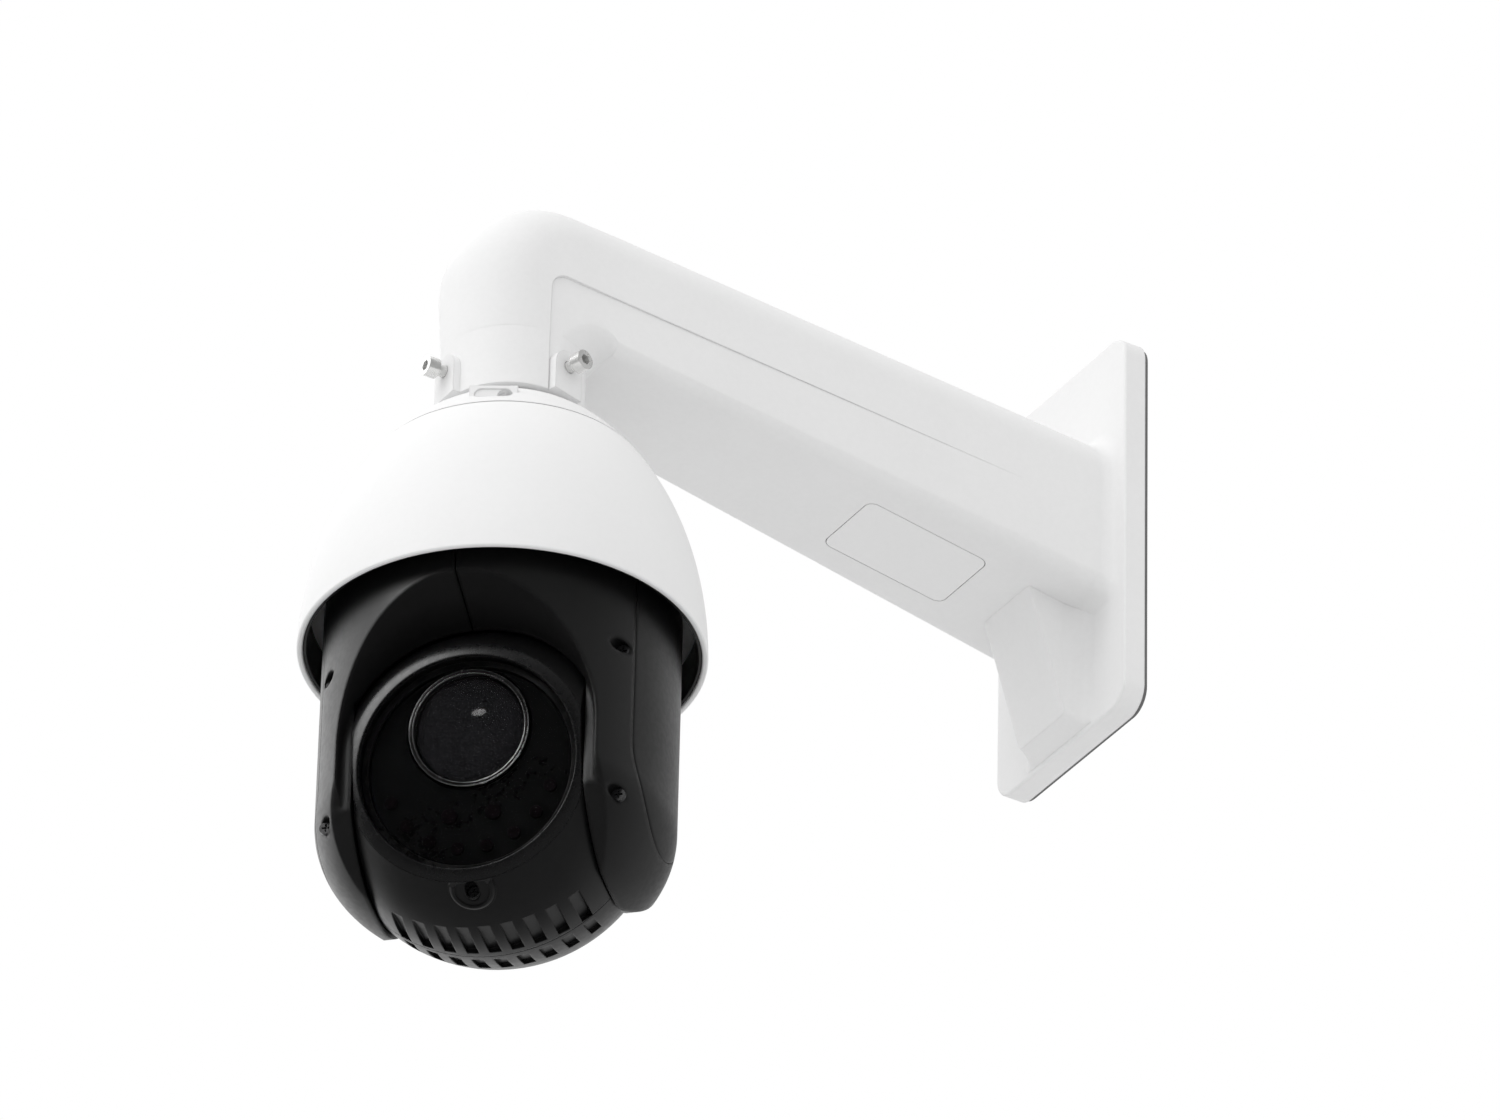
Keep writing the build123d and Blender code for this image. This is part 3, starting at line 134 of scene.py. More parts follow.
class Graph:
    """The node tree of one material, or of the surroundings, and its main shader."""

    def __init__(self, owner: bpy.types.Material | bpy.types.World, shader: str) -> None:
        """Opens the node tree.

        Args:
            owner: What the nodes belong to.
            shader: The name of the main shader's node.
        """
        owner.use_nodes = True
        self.tree = owner.node_tree
        self.shader = self.tree.nodes[shader]

    def node(self, kind: str, settings: dict | None = None, inputs: dict | None = None) -> bpy.types.Node:
        """Makes any node.

        Args:
            kind: The node's type.
            settings: Its properties, set first.
            inputs: Values or links of its sockets.

        Returns:
            The new node.
        """
        made = self.tree.nodes.new(kind)
        for key, value in (settings or {}).items():
            setattr(made, key, value)
        for key, value in (inputs or {}).items():
            if isinstance(value, Signal):
                self.tree.links.new(value.socket, made.inputs[key])
            else:
                made.inputs[key].default_value = value
        return made

    def place(self, stretch: Triple = EVEN) -> Signal:
        """Gives the point on the object, in metres.

        Args:
            stretch: Scale of each axis, for grain that runs one way.

        Returns:
            The point.
        """
        point = Signal(self, self.node("ShaderNodeTexCoord").outputs["Object"])
        mapping = self.node("ShaderNodeMapping", None, {"Vector": point, "Scale": stretch})
        return Signal(self, mapping.outputs[0])

    def noise(self, size: float, detail: float, stretch: Triple = EVEN) -> Signal:
        """Gives cloudy noise.

        Args:
            size: Width of one cloud, in metres.
            detail: Octaves of finer noise.
            stretch: Scale of each axis.

        Returns:
            A value around 0.5.
        """
        inputs = {"Vector": self.place(stretch), "Scale": 1.0 / size}
        inputs |= {"Detail": detail, "Roughness": NOISE_ROUGHNESS}
        return Signal(self, self.node("ShaderNodeTexNoise", None, inputs).outputs[0])

    def cells(self, size: float) -> Signal:
        """Gives the distance to the nearest of many scattered points.

        Args:
            size: Mean spacing of the points, in metres.

        Returns:
            The distance, in spacings.
        """
        inputs = {"Vector": self.place(), "Scale": 1.0 / size}
        return Signal(self, self.node("ShaderNodeTexVoronoi", None, inputs).outputs["Distance"])

    def along(self, point: Signal, axis: Triple) -> Signal:
        """Gives how far a point lies along an axis.

        Args:
            point: The point.
            axis: The axis, of length 1.

        Returns:
            The distance.
        """
        node = self.node("ShaderNodeVectorMath", {"operation": "DOT_PRODUCT"}, {0: point, 1: axis})
        return Signal(self, node.outputs["Value"])

    def blend(self, share: Operand, first: Triple, second: Triple) -> Signal:
        """Mixes two colours.

        Args:
            share: How much of the second colour.
            first: Colour at 0.
            second: Colour at 1.

        Returns:
            The mixed colour.
        """
        node = self.node("ShaderNodeMix", {"data_type": "RGBA"})
        inputs = {"Factor": share, "A": (*first, 1.0), "B": (*second, 1.0)}
        for socket in node.inputs:
            if socket.enabled and socket.name in inputs:
                value = inputs[socket.name]
                if isinstance(value, Signal):
                    self.tree.links.new(value.socket, socket)
                else:
                    socket.default_value = value
        return Signal(self, next(out for out in node.outputs if out.enabled))

    def feed(self, name: str, value: Signal) -> None:
        """Links a value that varies to the main shader.

        Args:
            name: The shader's socket.
            value: What goes in.
        """
        self.tree.links.new(value.socket, self.shader.inputs[name])

    def fix(self, **values: object) -> None:
        """Sets sockets of the main shader that are the same all over, with _ for a space in the name."""
        for name, value in values.items():
            self.shader.inputs[name.replace("_", " ")].default_value = value

    def rounded(self, radius: float) -> Signal | None:
        """Gives normals that take the sharpness off edges.

        Args:
            radius: Radius of the softened edges, in metres.

        Returns:
            The normal, or None for sharp edges.
        """
        if radius <= 0:
            return None
        bevel = self.node("ShaderNodeBevel", {"samples": BEVEL_SAMPLES}, {"Radius": radius})
        return Signal(self, bevel.outputs[0])

    def relief(self, height: Signal | None, depth: float, normal: Signal | None) -> None:
        """Gives the surface its grain on top of its softened edges.

        Args:
            height: The grain, or None for a plain surface.
            depth: Height of the grain, in metres.
            normal: The normal with softened edges, or None.
        """
        if height is not None:
            inputs = {"Height": height, "Distance": depth, "Strength": 1.0}
            if normal is not None:
                inputs["Normal"] = normal
            normal = Signal(self, self.node("ShaderNodeBump", None, inputs).outputs[0])
        if normal is not None:
            self.feed("Normal", normal)


@dataclass(frozen=True)
class Finish(ABC):
    """A finish that several pieces share."""

    name: str
    colour: Triple
    roughness: float

    @abstractmethod
    def dress(self, graph: Graph) -> None:
        """Fills the material's nodes.

        Args:
            graph: The material's graph.
        """

    def material(self) -> bpy.types.Material:
        """Makes the material.

        Returns:
            The new material.
        """
        made = bpy.data.materials.new(self.name)
        made.diffuse_color = (*self.colour, 1.0)
        self.dress(Graph(made, "Principled BSDF"))
        return made


def shade_of(colour: Triple, factor: float) -> Triple:
    """Scales a colour.

    Args:
        colour: The colour.
        factor: What each channel is multiplied by.

    Returns:
        The scaled colour.
    """
    return tuple(min(1.0, channel * factor) for channel in colour)


@dataclass(frozen=True)
class Coating(Finish):
    """Paint or a moulded skin: nearly one colour, with a fine grain and a little soil."""

    grain: Grain = Grain.PLAIN
    grain_size: float = 0.8 * MM
    grain_depth: float = 0.01 * MM
    edge: float = 0.4 * MM
    drift: float = 0.03
    coat: float = 0.0
    coat_roughness: float = 0.08
    specular: float = 0.5
    swell_share: float = 0.3
    swell_ratio: float = 4.0
    pit_shares: Pair = (0.7, 0.5)
    pit_ratio: float = 1.3
    cloud_size: float = 60 * MM
    cloud_range: Pair = (0.3, 0.7)
    cloud_share: float = 0.65
    cloud_dulls: float = 0.06
    speck_size: float = 2.5 * MM
    speck_range: Pair = (0.35, 0.65)
    speck_dulls: float = 0.05

    def height(self, graph: Graph) -> Signal | None:
        """Gives the grain's height.

        Args:
            graph: The material's graph.

        Returns:
            The height, or None for a plain skin.
        """
        if self.grain is Grain.ORANGE_PEEL:
            swell = graph.noise(self.swell_ratio * self.grain_size, 1.0)
            return graph.noise(self.grain_size, 1.0) + self.swell_share * swell
        if self.grain is Grain.SPARK_ERODED:
            rough, pitted = self.pit_shares
            pits = graph.cells(self.pit_ratio * self.grain_size)
            return rough * graph.noise(self.grain_size, 2.0) + pitted * pits
        return None

    def dress(self, graph: Graph) -> None:
        """Fills the material's nodes.

        Args:
            graph: The material's graph.
        """
        clouds = graph.noise(self.cloud_size, 3.0).ramp(*self.cloud_range)
        specks = graph.noise(self.speck_size, 2.0).ramp(*self.speck_range)
        soil = self.cloud_share * clouds + (1.0 - self.cloud_share) * specks
        dark = shade_of(self.colour, 1.0 - self.drift)
        light = shade_of(self.colour, 1.0 + 0.5 * self.drift)
        graph.feed("Base Color", graph.blend(soil, dark, light))
        least = self.roughness - 0.5 * (self.cloud_dulls + self.speck_dulls)
        graph.feed("Roughness", least + self.cloud_dulls * clouds + self.speck_dulls * specks)
        graph.fix(Coat_Weight=self.coat, Coat_Roughness=self.coat_roughness)
        graph.fix(Specular_IOR_Level=self.specular)
        graph.relief(self.height(graph), self.grain_depth, graph.rounded(self.edge))


@dataclass(frozen=True)
class WorkedMetal(Finish):
    """Bare or plated metal with fine marks along one direction."""

    lay: Triple = EVEN
    mark_size: float = 0.5 * MM
    mark_depth: float = 0.006 * MM
    mark_dulls: float = 0.08
    bloom_size: float = 9 * MM
    bloom_range: Pair = (0.3, 0.75)
    bloom_shade: float = 0.82
    bloom_dulls: float = 0.12
    edge: float = 0.25 * MM
    bright: float = 1.0

    def dress(self, graph: Graph) -> None:
        """Fills the material's nodes.

        Args:
            graph: The material's graph.
        """
        marks = graph.noise(self.mark_size, 3.0, self.lay)
        bloom = graph.noise(self.bloom_size, 3.0).ramp(*self.bloom_range)
        dull = shade_of(self.colour, self.bloom_shade)
        graph.feed("Base Color", graph.blend(bloom, self.colour, dull))
        least = self.roughness - self.mark_dulls
        graph.feed("Roughness", least + self.bloom_dulls * bloom + self.mark_dulls * marks)
        graph.fix(Metallic=self.bright)
        graph.relief(marks, self.mark_depth, graph.rounded(self.edge))


@dataclass(frozen=True)
class ClearGlass(Finish):
    """Glass that is looked through, with its tint and how much it hides."""

    hides: float = 0.5
    coat: float = 0.0
    coat_roughness: float = 0.02
    ior: float = 1.52
    film_size: float = 25 * MM
    film_range: Pair = (0.25, 0.8)
    film_tint: float = 1.3
    film_dulls: float = 0.03

    def dress(self, graph: Graph) -> None:
        """Fills the material's nodes.

        Args:
            graph: The material's graph.
        """
        film = graph.noise(self.film_size, 2.0).ramp(*self.film_range)
        tint = shade_of(self.colour, self.film_tint)
        graph.feed("Base Color", graph.blend(film, self.colour, tint))
        graph.feed("Roughness", self.roughness + self.film_dulls * film)
        graph.fix(IOR=self.ior, Alpha=self.hides)
        graph.fix(Coat_Weight=self.coat, Coat_Roughness=self.coat_roughness)


@dataclass(frozen=True)
class CircuitBoard(Finish):
    """Solder resist over copper lines."""

    copper: Triple = (0.10, 0.30, 0.12)
    line_pitch: float = 9 * MM
    line_width: float = 0.03
    line_height: float = 0.03 * MM
    line_share: float = 0.8
    weave_size: float = 0.7 * MM
    weave_dulls: float = 0.1

    def dress(self, graph: Graph) -> None:
        """Fills the material's nodes.

        Args:
            graph: The material's graph.
        """
        inputs = {"Vector": graph.place(), "Scale": 1.0 / self.line_pitch, "Mortar Size": self.line_width}
        bricks = graph.node("ShaderNodeTexBrick", None, inputs)
        lines = Signal(graph, bricks.outputs["Fac"])
        weave = graph.noise(self.weave_size, 1.0)
        shown = self.line_share * lines + (1.0 - self.line_share) * weave
        graph.feed("Base Color", graph.blend(shown, self.colour, self.copper))
        graph.feed("Roughness", self.roughness + self.weave_dulls * weave)
        graph.relief(lines, self.line_height, None)


@dataclass(frozen=True)
class Head:
    """Where the ball is and which way it looks at rest."""

    centre: Triple = (0.0, -0.276, -0.205)
    pan: float = 44.5
    tilt: float = 12.0

    def directions(self) -> tuple[Vector, Vector]:
        """Gives the ball's own directions.

        Returns:
            Along its line of sight, and towards its top.
        """
        pan, tilt = math.radians(self.pan), math.radians(self.tilt)
        forward = Vector((math.sin(pan), -math.cos(pan), 0.0))
        upward = Vector((0.0, 0.0, 1.0))
        sight = forward * math.cos(tilt) - upward * math.sin(tilt)
        crown = forward * math.sin(tilt) + upward * math.cos(tilt)
        return sight, crown


class Finishes:
    """The finishes of the camera, each made once."""

    def __init__(self) -> None:
        """Lists the finishes by name."""
        peel, spark = Grain.ORANGE_PEEL, Grain.SPARK_ERODED
        black = (0.0055, 0.0055, 0.0058)
        listed = [
            Coating("white_powder_coat", (0.85, 0.85, 0.85), 0.58, peel, grain_size=1.1 * MM,
                    grain_depth=0.02 * MM, edge=0.8 * MM, drift=0.02, specular=0.1),
            Coating("white_moulding", (0.87, 0.87, 0.87), 0.52, peel, grain_size=1.6 * MM,
                    grain_depth=0.008 * MM, edge=0.5 * MM, drift=0.015, specular=0.1),
            Coating("black_moulding", black, 0.36, spark, grain_size=0.45 * MM,
                    grain_depth=0.010 * MM, edge=0.8 * MM, drift=0.25),
            Coating("yoke_moulding", black, 0.40, spark, grain_size=0.45 * MM,
                    grain_depth=0.010 * MM, edge=2.6 * MM, drift=0.25),
            Coating("bezel_moulding", black, 0.27, spark, grain_size=0.45 * MM,
                    grain_depth=0.0015 * MM, edge=0.4 * MM, drift=0.2),
            Coating("black_gloss", (0.003, 0.003, 0.0034), 0.30, edge=0.3 * MM, drift=0.2, specular=0.15),
            Coating("black_anodised", (0.012, 0.012, 0.013), 0.30, spark, grain_size=0.3 * MM,
                    grain_depth=0.006 * MM, edge=0.3 * MM, drift=0.2),
            Coating("grey_rubber", (0.16, 0.16, 0.16), 0.72, spark, grain_size=0.5 * MM,
                    grain_depth=0.02 * MM, edge=0.3 * MM, drift=0.1),
            Coating("black_rubber", (0.006, 0.006, 0.006), 0.30, spark, grain_size=0.5 * MM,
                    grain_depth=0.005 * MM, edge=0.4 * MM, drift=0.2),
            Coating("natural_acetal", (0.74, 0.72, 0.66), 0.45, spark, grain_size=0.4 * MM,
                    grain_depth=0.006 * MM, edge=0.2 * MM, drift=0.05),
            Coating("motor_lacquer", (0.05, 0.05, 0.055), 0.35, peel, grain_size=0.8 * MM,
                    grain_depth=0.01 * MM, edge=0.4 * MM, drift=0.2),
            Coating("led_resin", (0.006, 0.004, 0.005), 0.12, edge=0.2 * MM, drift=0.1),
            Coating("hood_lacquer", (0.010, 0.010, 0.010), 0.20, edge=0.0, drift=0.2, coat=0.3),
            WorkedMetal("zinc_plate", (0.80, 0.80, 0.79), 0.26, bright=0.6),
            WorkedMetal("cut_aluminium", (0.72, 0.72, 0.73), 0.22, edge=0.0),
            WorkedMetal("ground_steel", (0.56, 0.56, 0.57), 0.2, lay=(1.0, 1.0, 12.0)),
            WorkedMetal("sheet_aluminium", (0.68, 0.69, 0.70), 0.34, lay=(1.0, 1.0, 0.06)),
            ClearGlass("tinted_window", (0.0015, 0.0015, 0.0015), 0.02, hides=0.16),
            ClearGlass("front_glass", (0.022, 0.022, 0.024), 0.03, hides=0.88, coat=0.5, ior=1.6),
            ClearGlass("coated_lens", (0.01, 0.008, 0.02), 0.02, hides=0.35, coat=0.6),
            CircuitBoard("circuit_board", (0.015, 0.10, 0.04), 0.4),
        ]
        self.made = {finish.name: finish.material() for finish in listed}

    def dress(self, piece: bpy.types.Object, finish: str) -> None:
        """Gives a piece one finish all over.

        Args:
            piece: The piece.
            finish: The finish's name.
        """
        if not piece.material_slots:
            piece.data.materials.append(self.made[finish])
        for slot in piece.material_slots:
            slot.link = "OBJECT"
            slot.material = self.made[finish]


class Shading:
    """Smooth shading by angle, as modifiers that leave the solids' own meshes alone."""

    WELD_GAP = 0.002 * MM
    FACE_WEIGHT = 80

    def __init__(self, angle: float = 32.0) -> None:
        """Makes the node group.

        Args:
            angle: Faces that meet at more than this stay sharp, in degrees.
        """
        self.group = bpy.data.node_groups.new("smooth_by_angle", "GeometryNodeTree")
        for way in ("INPUT", "OUTPUT"):
            self.group.interface.new_socket("Geometry", in_out=way, socket_type="NodeSocketGeometry")
        nodes, links = self.group.nodes, self.group.links
        start, end = nodes.new("NodeGroupInput"), nodes.new("NodeGroupOutput")
        bare = nodes.new("GeometryNodeRemoveAttribute")
        bare.inputs["Name"].default_value = "custom_normal"
        faces = nodes.new("GeometryNodeSetShadeSmooth")
        edges = nodes.new("GeometryNodeSetShadeSmooth")
        edges.domain = "EDGE"
        edges.inputs["Shade Smooth"].default_value = False
        fold = nodes.new("GeometryNodeInputMeshEdgeAngle")
        sharp = nodes.new("ShaderNodeMath")
        sharp.operation = "GREATER_THAN"
        sharp.inputs[1].default_value = math.radians(angle)
        links.new(fold.outputs["Unsigned Angle"], sharp.inputs[0])
        links.new(sharp.outputs[0], edges.inputs["Selection"])
        links.new(start.outputs[0], bare.inputs["Geometry"])
        links.new(bare.outputs["Geometry"], faces.inputs["Geometry"])
        links.new(faces.outputs["Geometry"], edges.inputs["Geometry"])
        links.new(edges.outputs["Geometry"], end.inputs[0])

    def apply(self, piece: bpy.types.Object) -> None:
        """Adds the modifiers to a piece.

        Args:
            piece: The piece.
        """
        weld = piece.modifiers.new("weld", "WELD")
        weld.merge_threshold = self.WELD_GAP
        smooth = piece.modifiers.new("smooth", "NODES")
        smooth.node_group = self.group
        even = piece.modifiers.new("even_normals", "WEIGHTED_NORMAL")
        even.keep_sharp = True
        even.weight = self.FACE_WEIGHT


@dataclass
class SubAssembly(ABC):
    """Some nodes of the solids and how they are finished."""

    finishes: Finishes
    shading: Shading

    @abstractmethod
    def plan(self) -> dict[str, str]:
        """Names the finish of each node.

        Returns:
            Node to finish.
        """

    def build(self) -> None:
        """Dresses the nodes."""
        for node, finish in self.plan().items():
            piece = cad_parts[node]
            self.finishes.dress(piece, finish)
            self.shading.apply(piece)
            log.info("%s: %s", node, finish)


@dataclass
class Axis:
    """A line that turned pieces stand on, with the directions across it."""

    origin: Vector
    along: Vector
    across: Vector

    def point(self, radius: float, distance: float, turn: float) -> Vector:
        """Gives a point of a turned piece.

        Args:
            radius: Distance from the line, in metres.
            distance: Distance along it, in metres.
            turn: Angle about it, in radians.

        Returns:
            The point.
        """
        beside = self.along.cross(self.across)
        outward = math.cos(turn) * self.across + math.sin(turn) * beside
        return self.origin + self.along * distance + radius * outward

    def turned(self, name: str, profile: list[Pair], closed: bool, count: int = 144) -> bpy.types.Object:
        """Makes a piece by turning a profile about the line.

        Args:
            name: The piece's name.
            profile: Radius and distance of each point, in metres; a radius of 0 only at the ends.
            closed: Whether the last point joins the first.
            count: Steps in a full turn.

        Returns:
            The new piece, with smooth faces.
        """
        shape = bmesh.new()
        rings = []
        for radius, distance in profile:
            if radius == 0.0:
                rings.append([shape.verts.new(self.point(0.0, distance, 0.0))])
            else:
                turns = [math.tau * step / count for step in range(count)]
                rings.append([shape.verts.new(self.point(radius, distance, turn)) for turn in turns])
        pairs = list(zip(rings, rings[1:]))
        if closed:
            pairs.append((rings[-1], rings[0]))
        for low, high in pairs:
            for step in range(count):
                after = (step + 1) % count
                corners = [low[step % len(low)], low[after % len(low)]]
                corners += [high[after % len(high)], high[step % len(high)]]
                shape.faces.new(list(dict.fromkeys(corners)))
        bmesh.ops.recalc_face_normals(shape, faces=shape.faces)
        for face in shape.faces:
            face.smooth = True
        mesh = bpy.data.meshes.new(name)
        shape.to_mesh(mesh)
        shape.free()
        piece = bpy.data.objects.new(name, mesh)
        bpy.context.scene.collection.objects.link(piece)
        return piece


@dataclass
class WallBracket(SubAssembly):
    """Arm, flange, gasket, cover and clamp screws."""

    def plan(self) -> dict[str, str]:
        """Names the finish of each node."""
        return {
            "bracket_casting": "white_powder_coat",
            "wall_gasket": "grey_rubber",
            "cable_cover": "white_moulding",
            "clamp_screws": "zinc_plate",
        }


@dataclass
class Housing(SubAssembly):
    """Cap, cowl and what is fixed inside them."""

    def plan(self) -> dict[str, str]:
        """Names the finish of each node."""
        return {
            "top_cap": "white_powder_coat",
            "lock_screw": "zinc_plate",
            "cap_seal": "grey_rubber",
            "cowl": "white_moulding",
            "cap_screws": "zinc_plate",
            "cowl_liner": "black_moulding",
            "chassis_plate": "sheet_aluminium",
            "chassis_screws": "zinc_plate",
            "board_standoffs": "zinc_plate",
            "main_board": "circuit_board",
            "pan_shaft": "ground_steel",
            "slip_ring": "black_anodised",
            "pan_gear": "natural_acetal",
            "bearing_inner_ring": "ground_steel",
        }


@dataclass
class PanHead(SubAssembly):
    """Turntable, yoke and drives."""

    def plan(self) -> dict[str, str]:
        """Names the finish of each node."""
        return {
            "bearing_outer_ring": "ground_steel",
            "bearing_balls": "ground_steel",
            "turntable": "black_anodised",
            "turntable_screws": "zinc_plate",
            "pan_motor": "motor_lacquer",
            "pan_pinion": "natural_acetal",
            "yoke_front_left": "yoke_moulding",
            "yoke_front_right": "yoke_moulding",
            "yoke_rear_shell": "yoke_moulding",
            "yoke_screws": "black_anodised",
            "tilt_bracket_left": "sheet_aluminium",
            "tilt_bracket_right": "sheet_aluminium",
            "tilt_bushings": "natural_acetal",
            "tilt_motor": "motor_lacquer",
            "tilt_pinion": "natural_acetal",
        }


@dataclass
class CameraBall(SubAssembly):
    """Ball shells, window and the lens behind it, with the trim and the lens's front that the solids leave out."""

    head: Head = Head()
    lens_offset: float = 16.0 * MM
    hood_radius: float = 24.6 * MM
    hood_bore: float = 22.6 * MM
    hood_start: float = 35.5 * MM
    hood_end: float = 41.9 * MM
    cut: float = 0.5 * MM
    cut_gap: float = 0.05 * MM
    cut_steps: int = 5
    baffle_count: int = 4
    baffle_depth: float = 0.3 * MM
    baffle_lean: float = 0.8
    baffle_gap: float = 1.5 * MM
    seat: float = 38.0 * MM
    glass_radius: float = 22.2 * MM
    glass_rim: float = 0.5 * MM
    glass_curve: float = 200.0 * MM
    glass_steps: int = 12
    face: float = 45.0 * MM
    bezel_radius: float = 49.6 * MM
    bezel_bore: float = 44.4 * MM
    bezel_slopes: Pair = (30.0, 12.0)
    bezel_lip: float = 0.4 * MM
    lip_turns: Triple = (30.0, 60.0, 90.0)
    bezel_steps: int = 10
    half_width: float = 46.4 * MM
    boss_angle: float = 51.0
    boss_level: float = 67.3 * MM
    boss_limit: float = 44.9 * MM
    boss_rim: tuple[Pair, ...] = (
        (6.70, -0.4), (6.75, 0.0), (6.90, 0.45), (7.20, 0.80),
        (7.60, 0.95), (8.10, 0.75), (8.70, 0.30), (9.40, -0.4),
    )
    screw_drop: float = 52.07 * MM
    screw_collar: tuple[Pair, ...] = (
        (2.65, 38.6), (3.45, 38.6), (3.45, 40.9), (3.30, 41.15),
        (3.05, 41.25), (2.80, 41.15), (2.65, 40.9),
    )
    collar_count: int = 48

    def bezel(self) -> None:
        """Turns the rounded ring that carries the ball's curve up to the window."""
        sight, crown = self.head.directions()
        middle = Vector(self.head.centre)
        axis = Axis(middle, sight, crown)
        steep, flat = (math.radians(slope) for slope in self.bezel_slopes)
        width = self.bezel_radius - self.bezel_bore - self.bezel_lip
        curve = width / (math.sin(steep) - math.sin(flat))
        profile = []
        for step in range(self.bezel_steps + 1):
            slope = steep + (flat - steep) * step / self.bezel_steps
            inward = curve * (math.sin(steep) - math.sin(slope))
            rise = curve * (math.cos(slope) - math.cos(steep))
            profile.append((self.bezel_radius - inward, self.face + rise))
        top = profile[-1][1]
        for turn in self.lip_turns:
            across = self.bezel_lip * math.sin(math.radians(turn))
            drop = self.bezel_lip * (1 - math.cos(math.radians(turn)))
            profile.append((self.bezel_bore + self.bezel_lip - across, top - drop))
        profile.append((self.bezel_bore, self.face))
        ring = axis.turned("window_bezel", profile, True)
        side = sight.cross(crown)
        for vertex in ring.data.vertices:
            across = (vertex.co - middle).dot(side)
            vertex.co -= side * (across - max(-self.half_width, min(self.half_width, across)))
        self.trim(ring, "bezel_moulding")

    def trim(self, piece: bpy.types.Object, finish: str) -> None:
        """Finishes a moulded piece and lets it move with the ball.

        Args:
            piece: The piece.
            finish: The finish's name.
        """
        self.finishes.dress(piece, finish)
        self.shading.apply(piece)
        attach(piece, "tilt_ball")
        log.info("%s: %s", piece.name, finish)

    def boss(self) -> None:
        """Turns the rim round the screw's pad under the window, and the collar round the screw."""
        sight, crown = self.head.directions()
        middle = Vector(self.head.centre)
        lean = math.radians(self.boss_angle)
        ray = sight * math.cos(lean) - crown * math.sin(lean)
        fall = -sight * math.sin(lean) - crown * math.cos(lean)
        axis = Axis(middle + ray * self.boss_level, ray, fall)
        profile = [(radius * MM, level * MM) for radius, level in self.boss_rim]
        rim = axis.turned("boss_rim", profile, True)
        for vertex in rim.data.vertices:
            forward = (vertex.co - middle).dot(sight)
            vertex.co -= sight * max(0.0, forward - self.boss_limit)
        self.trim(rim, "black_moulding")
        axis = Axis(middle - crown * self.screw_drop, sight, crown)
        profile = [(radius * MM, level * MM) for radius, level in self.screw_collar]
        collar = axis.turned("screw_collar", profile, True, self.collar_count)
        self.trim(collar, "bezel_moulding")

    def lens_axis(self) -> Axis:
        """Gives the lens's axis.

        Returns:
            The axis, from the plane of the tilt axis forwards.
        """
        sight, crown = self.head.directions()
        return Axis(Vector(self.head.centre) + crown * self.lens_offset, sight, crown)

    def hood(self, axis: Axis) -> None:
        """Turns the hood, with baffle ridges in its bore, and the two bright edges cut on its end.

        Args:
            axis: The lens's axis.
        """
        end, cut = self.hood_end, self.cut + self.cut_gap
        profile = [(self.hood_radius, self.hood_start), (self.hood_radius, end - cut)]
        profile += [(self.hood_radius - cut, end), (self.hood_bore + cut, end), (self.hood_bore, end - cut)]
        top, bottom = end - 2 * cut, self.seat + self.baffle_gap
        pitch = (top - bottom) / self.baffle_count
        for ridge in range(self.baffle_count):
            profile.append((self.hood_bore, top - ridge * pitch))
            deepest = top - (ridge + self.baffle_lean) * pitch
            profile.append((self.hood_bore + self.baffle_depth, deepest))
        profile += [(self.hood_bore, bottom), (self.hood_bore, self.hood_start)]
        body = axis.turned("lens_hood_turned", profile, True)
        self.finishes.dress(body, "hood_lacquer")
        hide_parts("lens_hood")
        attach(body, "tilt_ball")
        for name, radius, side in (("outer", self.hood_radius, -1), ("inner", self.hood_bore, 1)):
            arc = []
            for step in range(self.cut_steps + 1):
                turn = math.radians(90 * step / self.cut_steps)
                across = side * self.cut * (1 - math.cos(turn))
                arc.append((radius + across, end - self.cut * (1 - math.sin(turn))))
            edge = axis.turned("hood_edge_" + name, arc, True)
            self.finishes.dress(edge, "cut_aluminium")
            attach(edge, "tilt_ball")
        log.info("lens_hood_turned: hood_lacquer, with cut_aluminium edges")

    def front_element(self, axis: Axis) -> None:
        """Turns the domed front glass of the lens, which sits in the hood.

        Args:
            axis: The lens's axis.
        """
        edge = self.seat + self.glass_rim
        sag = self.glass_curve - math.sqrt(self.glass_curve ** 2 - self.glass_radius ** 2)
        profile = [(0.0, self.seat), (self.glass_radius, self.seat)]
        for step in range(self.glass_steps):
            radius = self.glass_radius * (1 - step / self.glass_steps)
            drop = self.glass_curve - math.sqrt(self.glass_curve ** 2 - radius ** 2)
            profile.append((radius, edge + sag - drop))
        profile.append((0.0, edge + sag))
        glass = axis.turned("front_element", profile, False)
        self.finishes.dress(glass, "front_glass")
        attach(glass, "tilt_ball")
        log.info("front_element: front_glass")

    def build(self) -> None:
        """Dresses the nodes and adds the bezel, the boss's rim, the screw's collar and the lens's front."""
        super().build()
        axis = self.lens_axis()
        self.bezel()
        self.boss()
        self.hood(axis)
        self.front_element(axis)

    def plan(self) -> dict[str, str]:
        """Names the finish of each node."""
        return {
            "ball_front_shell": "black_moulding",
            "ball_rear_shell": "black_moulding",
            "ball_screw": "black_anodised",
            "window_glass": "tinted_window",
            "window_seal": "black_rubber",
            "front_frame": "black_gloss",
            "infrared_board": "black_gloss",
            "infrared_leds": "led_resin",
            "lens_barrel": "black_anodised",
            "front_lens": "coated_lens",
            "camera_block": "black_anodised",
            "sensor_board": "circuit_board",
            "tilt_gear": "natural_acetal",
            "tilt_axle_left": "ground_steel",
            "tilt_axle_right": "ground_steel",
            "zoom_group": "coated_lens",
            "focus_group": "coated_lens",
            "filter_slide": "black_anodised",
        }


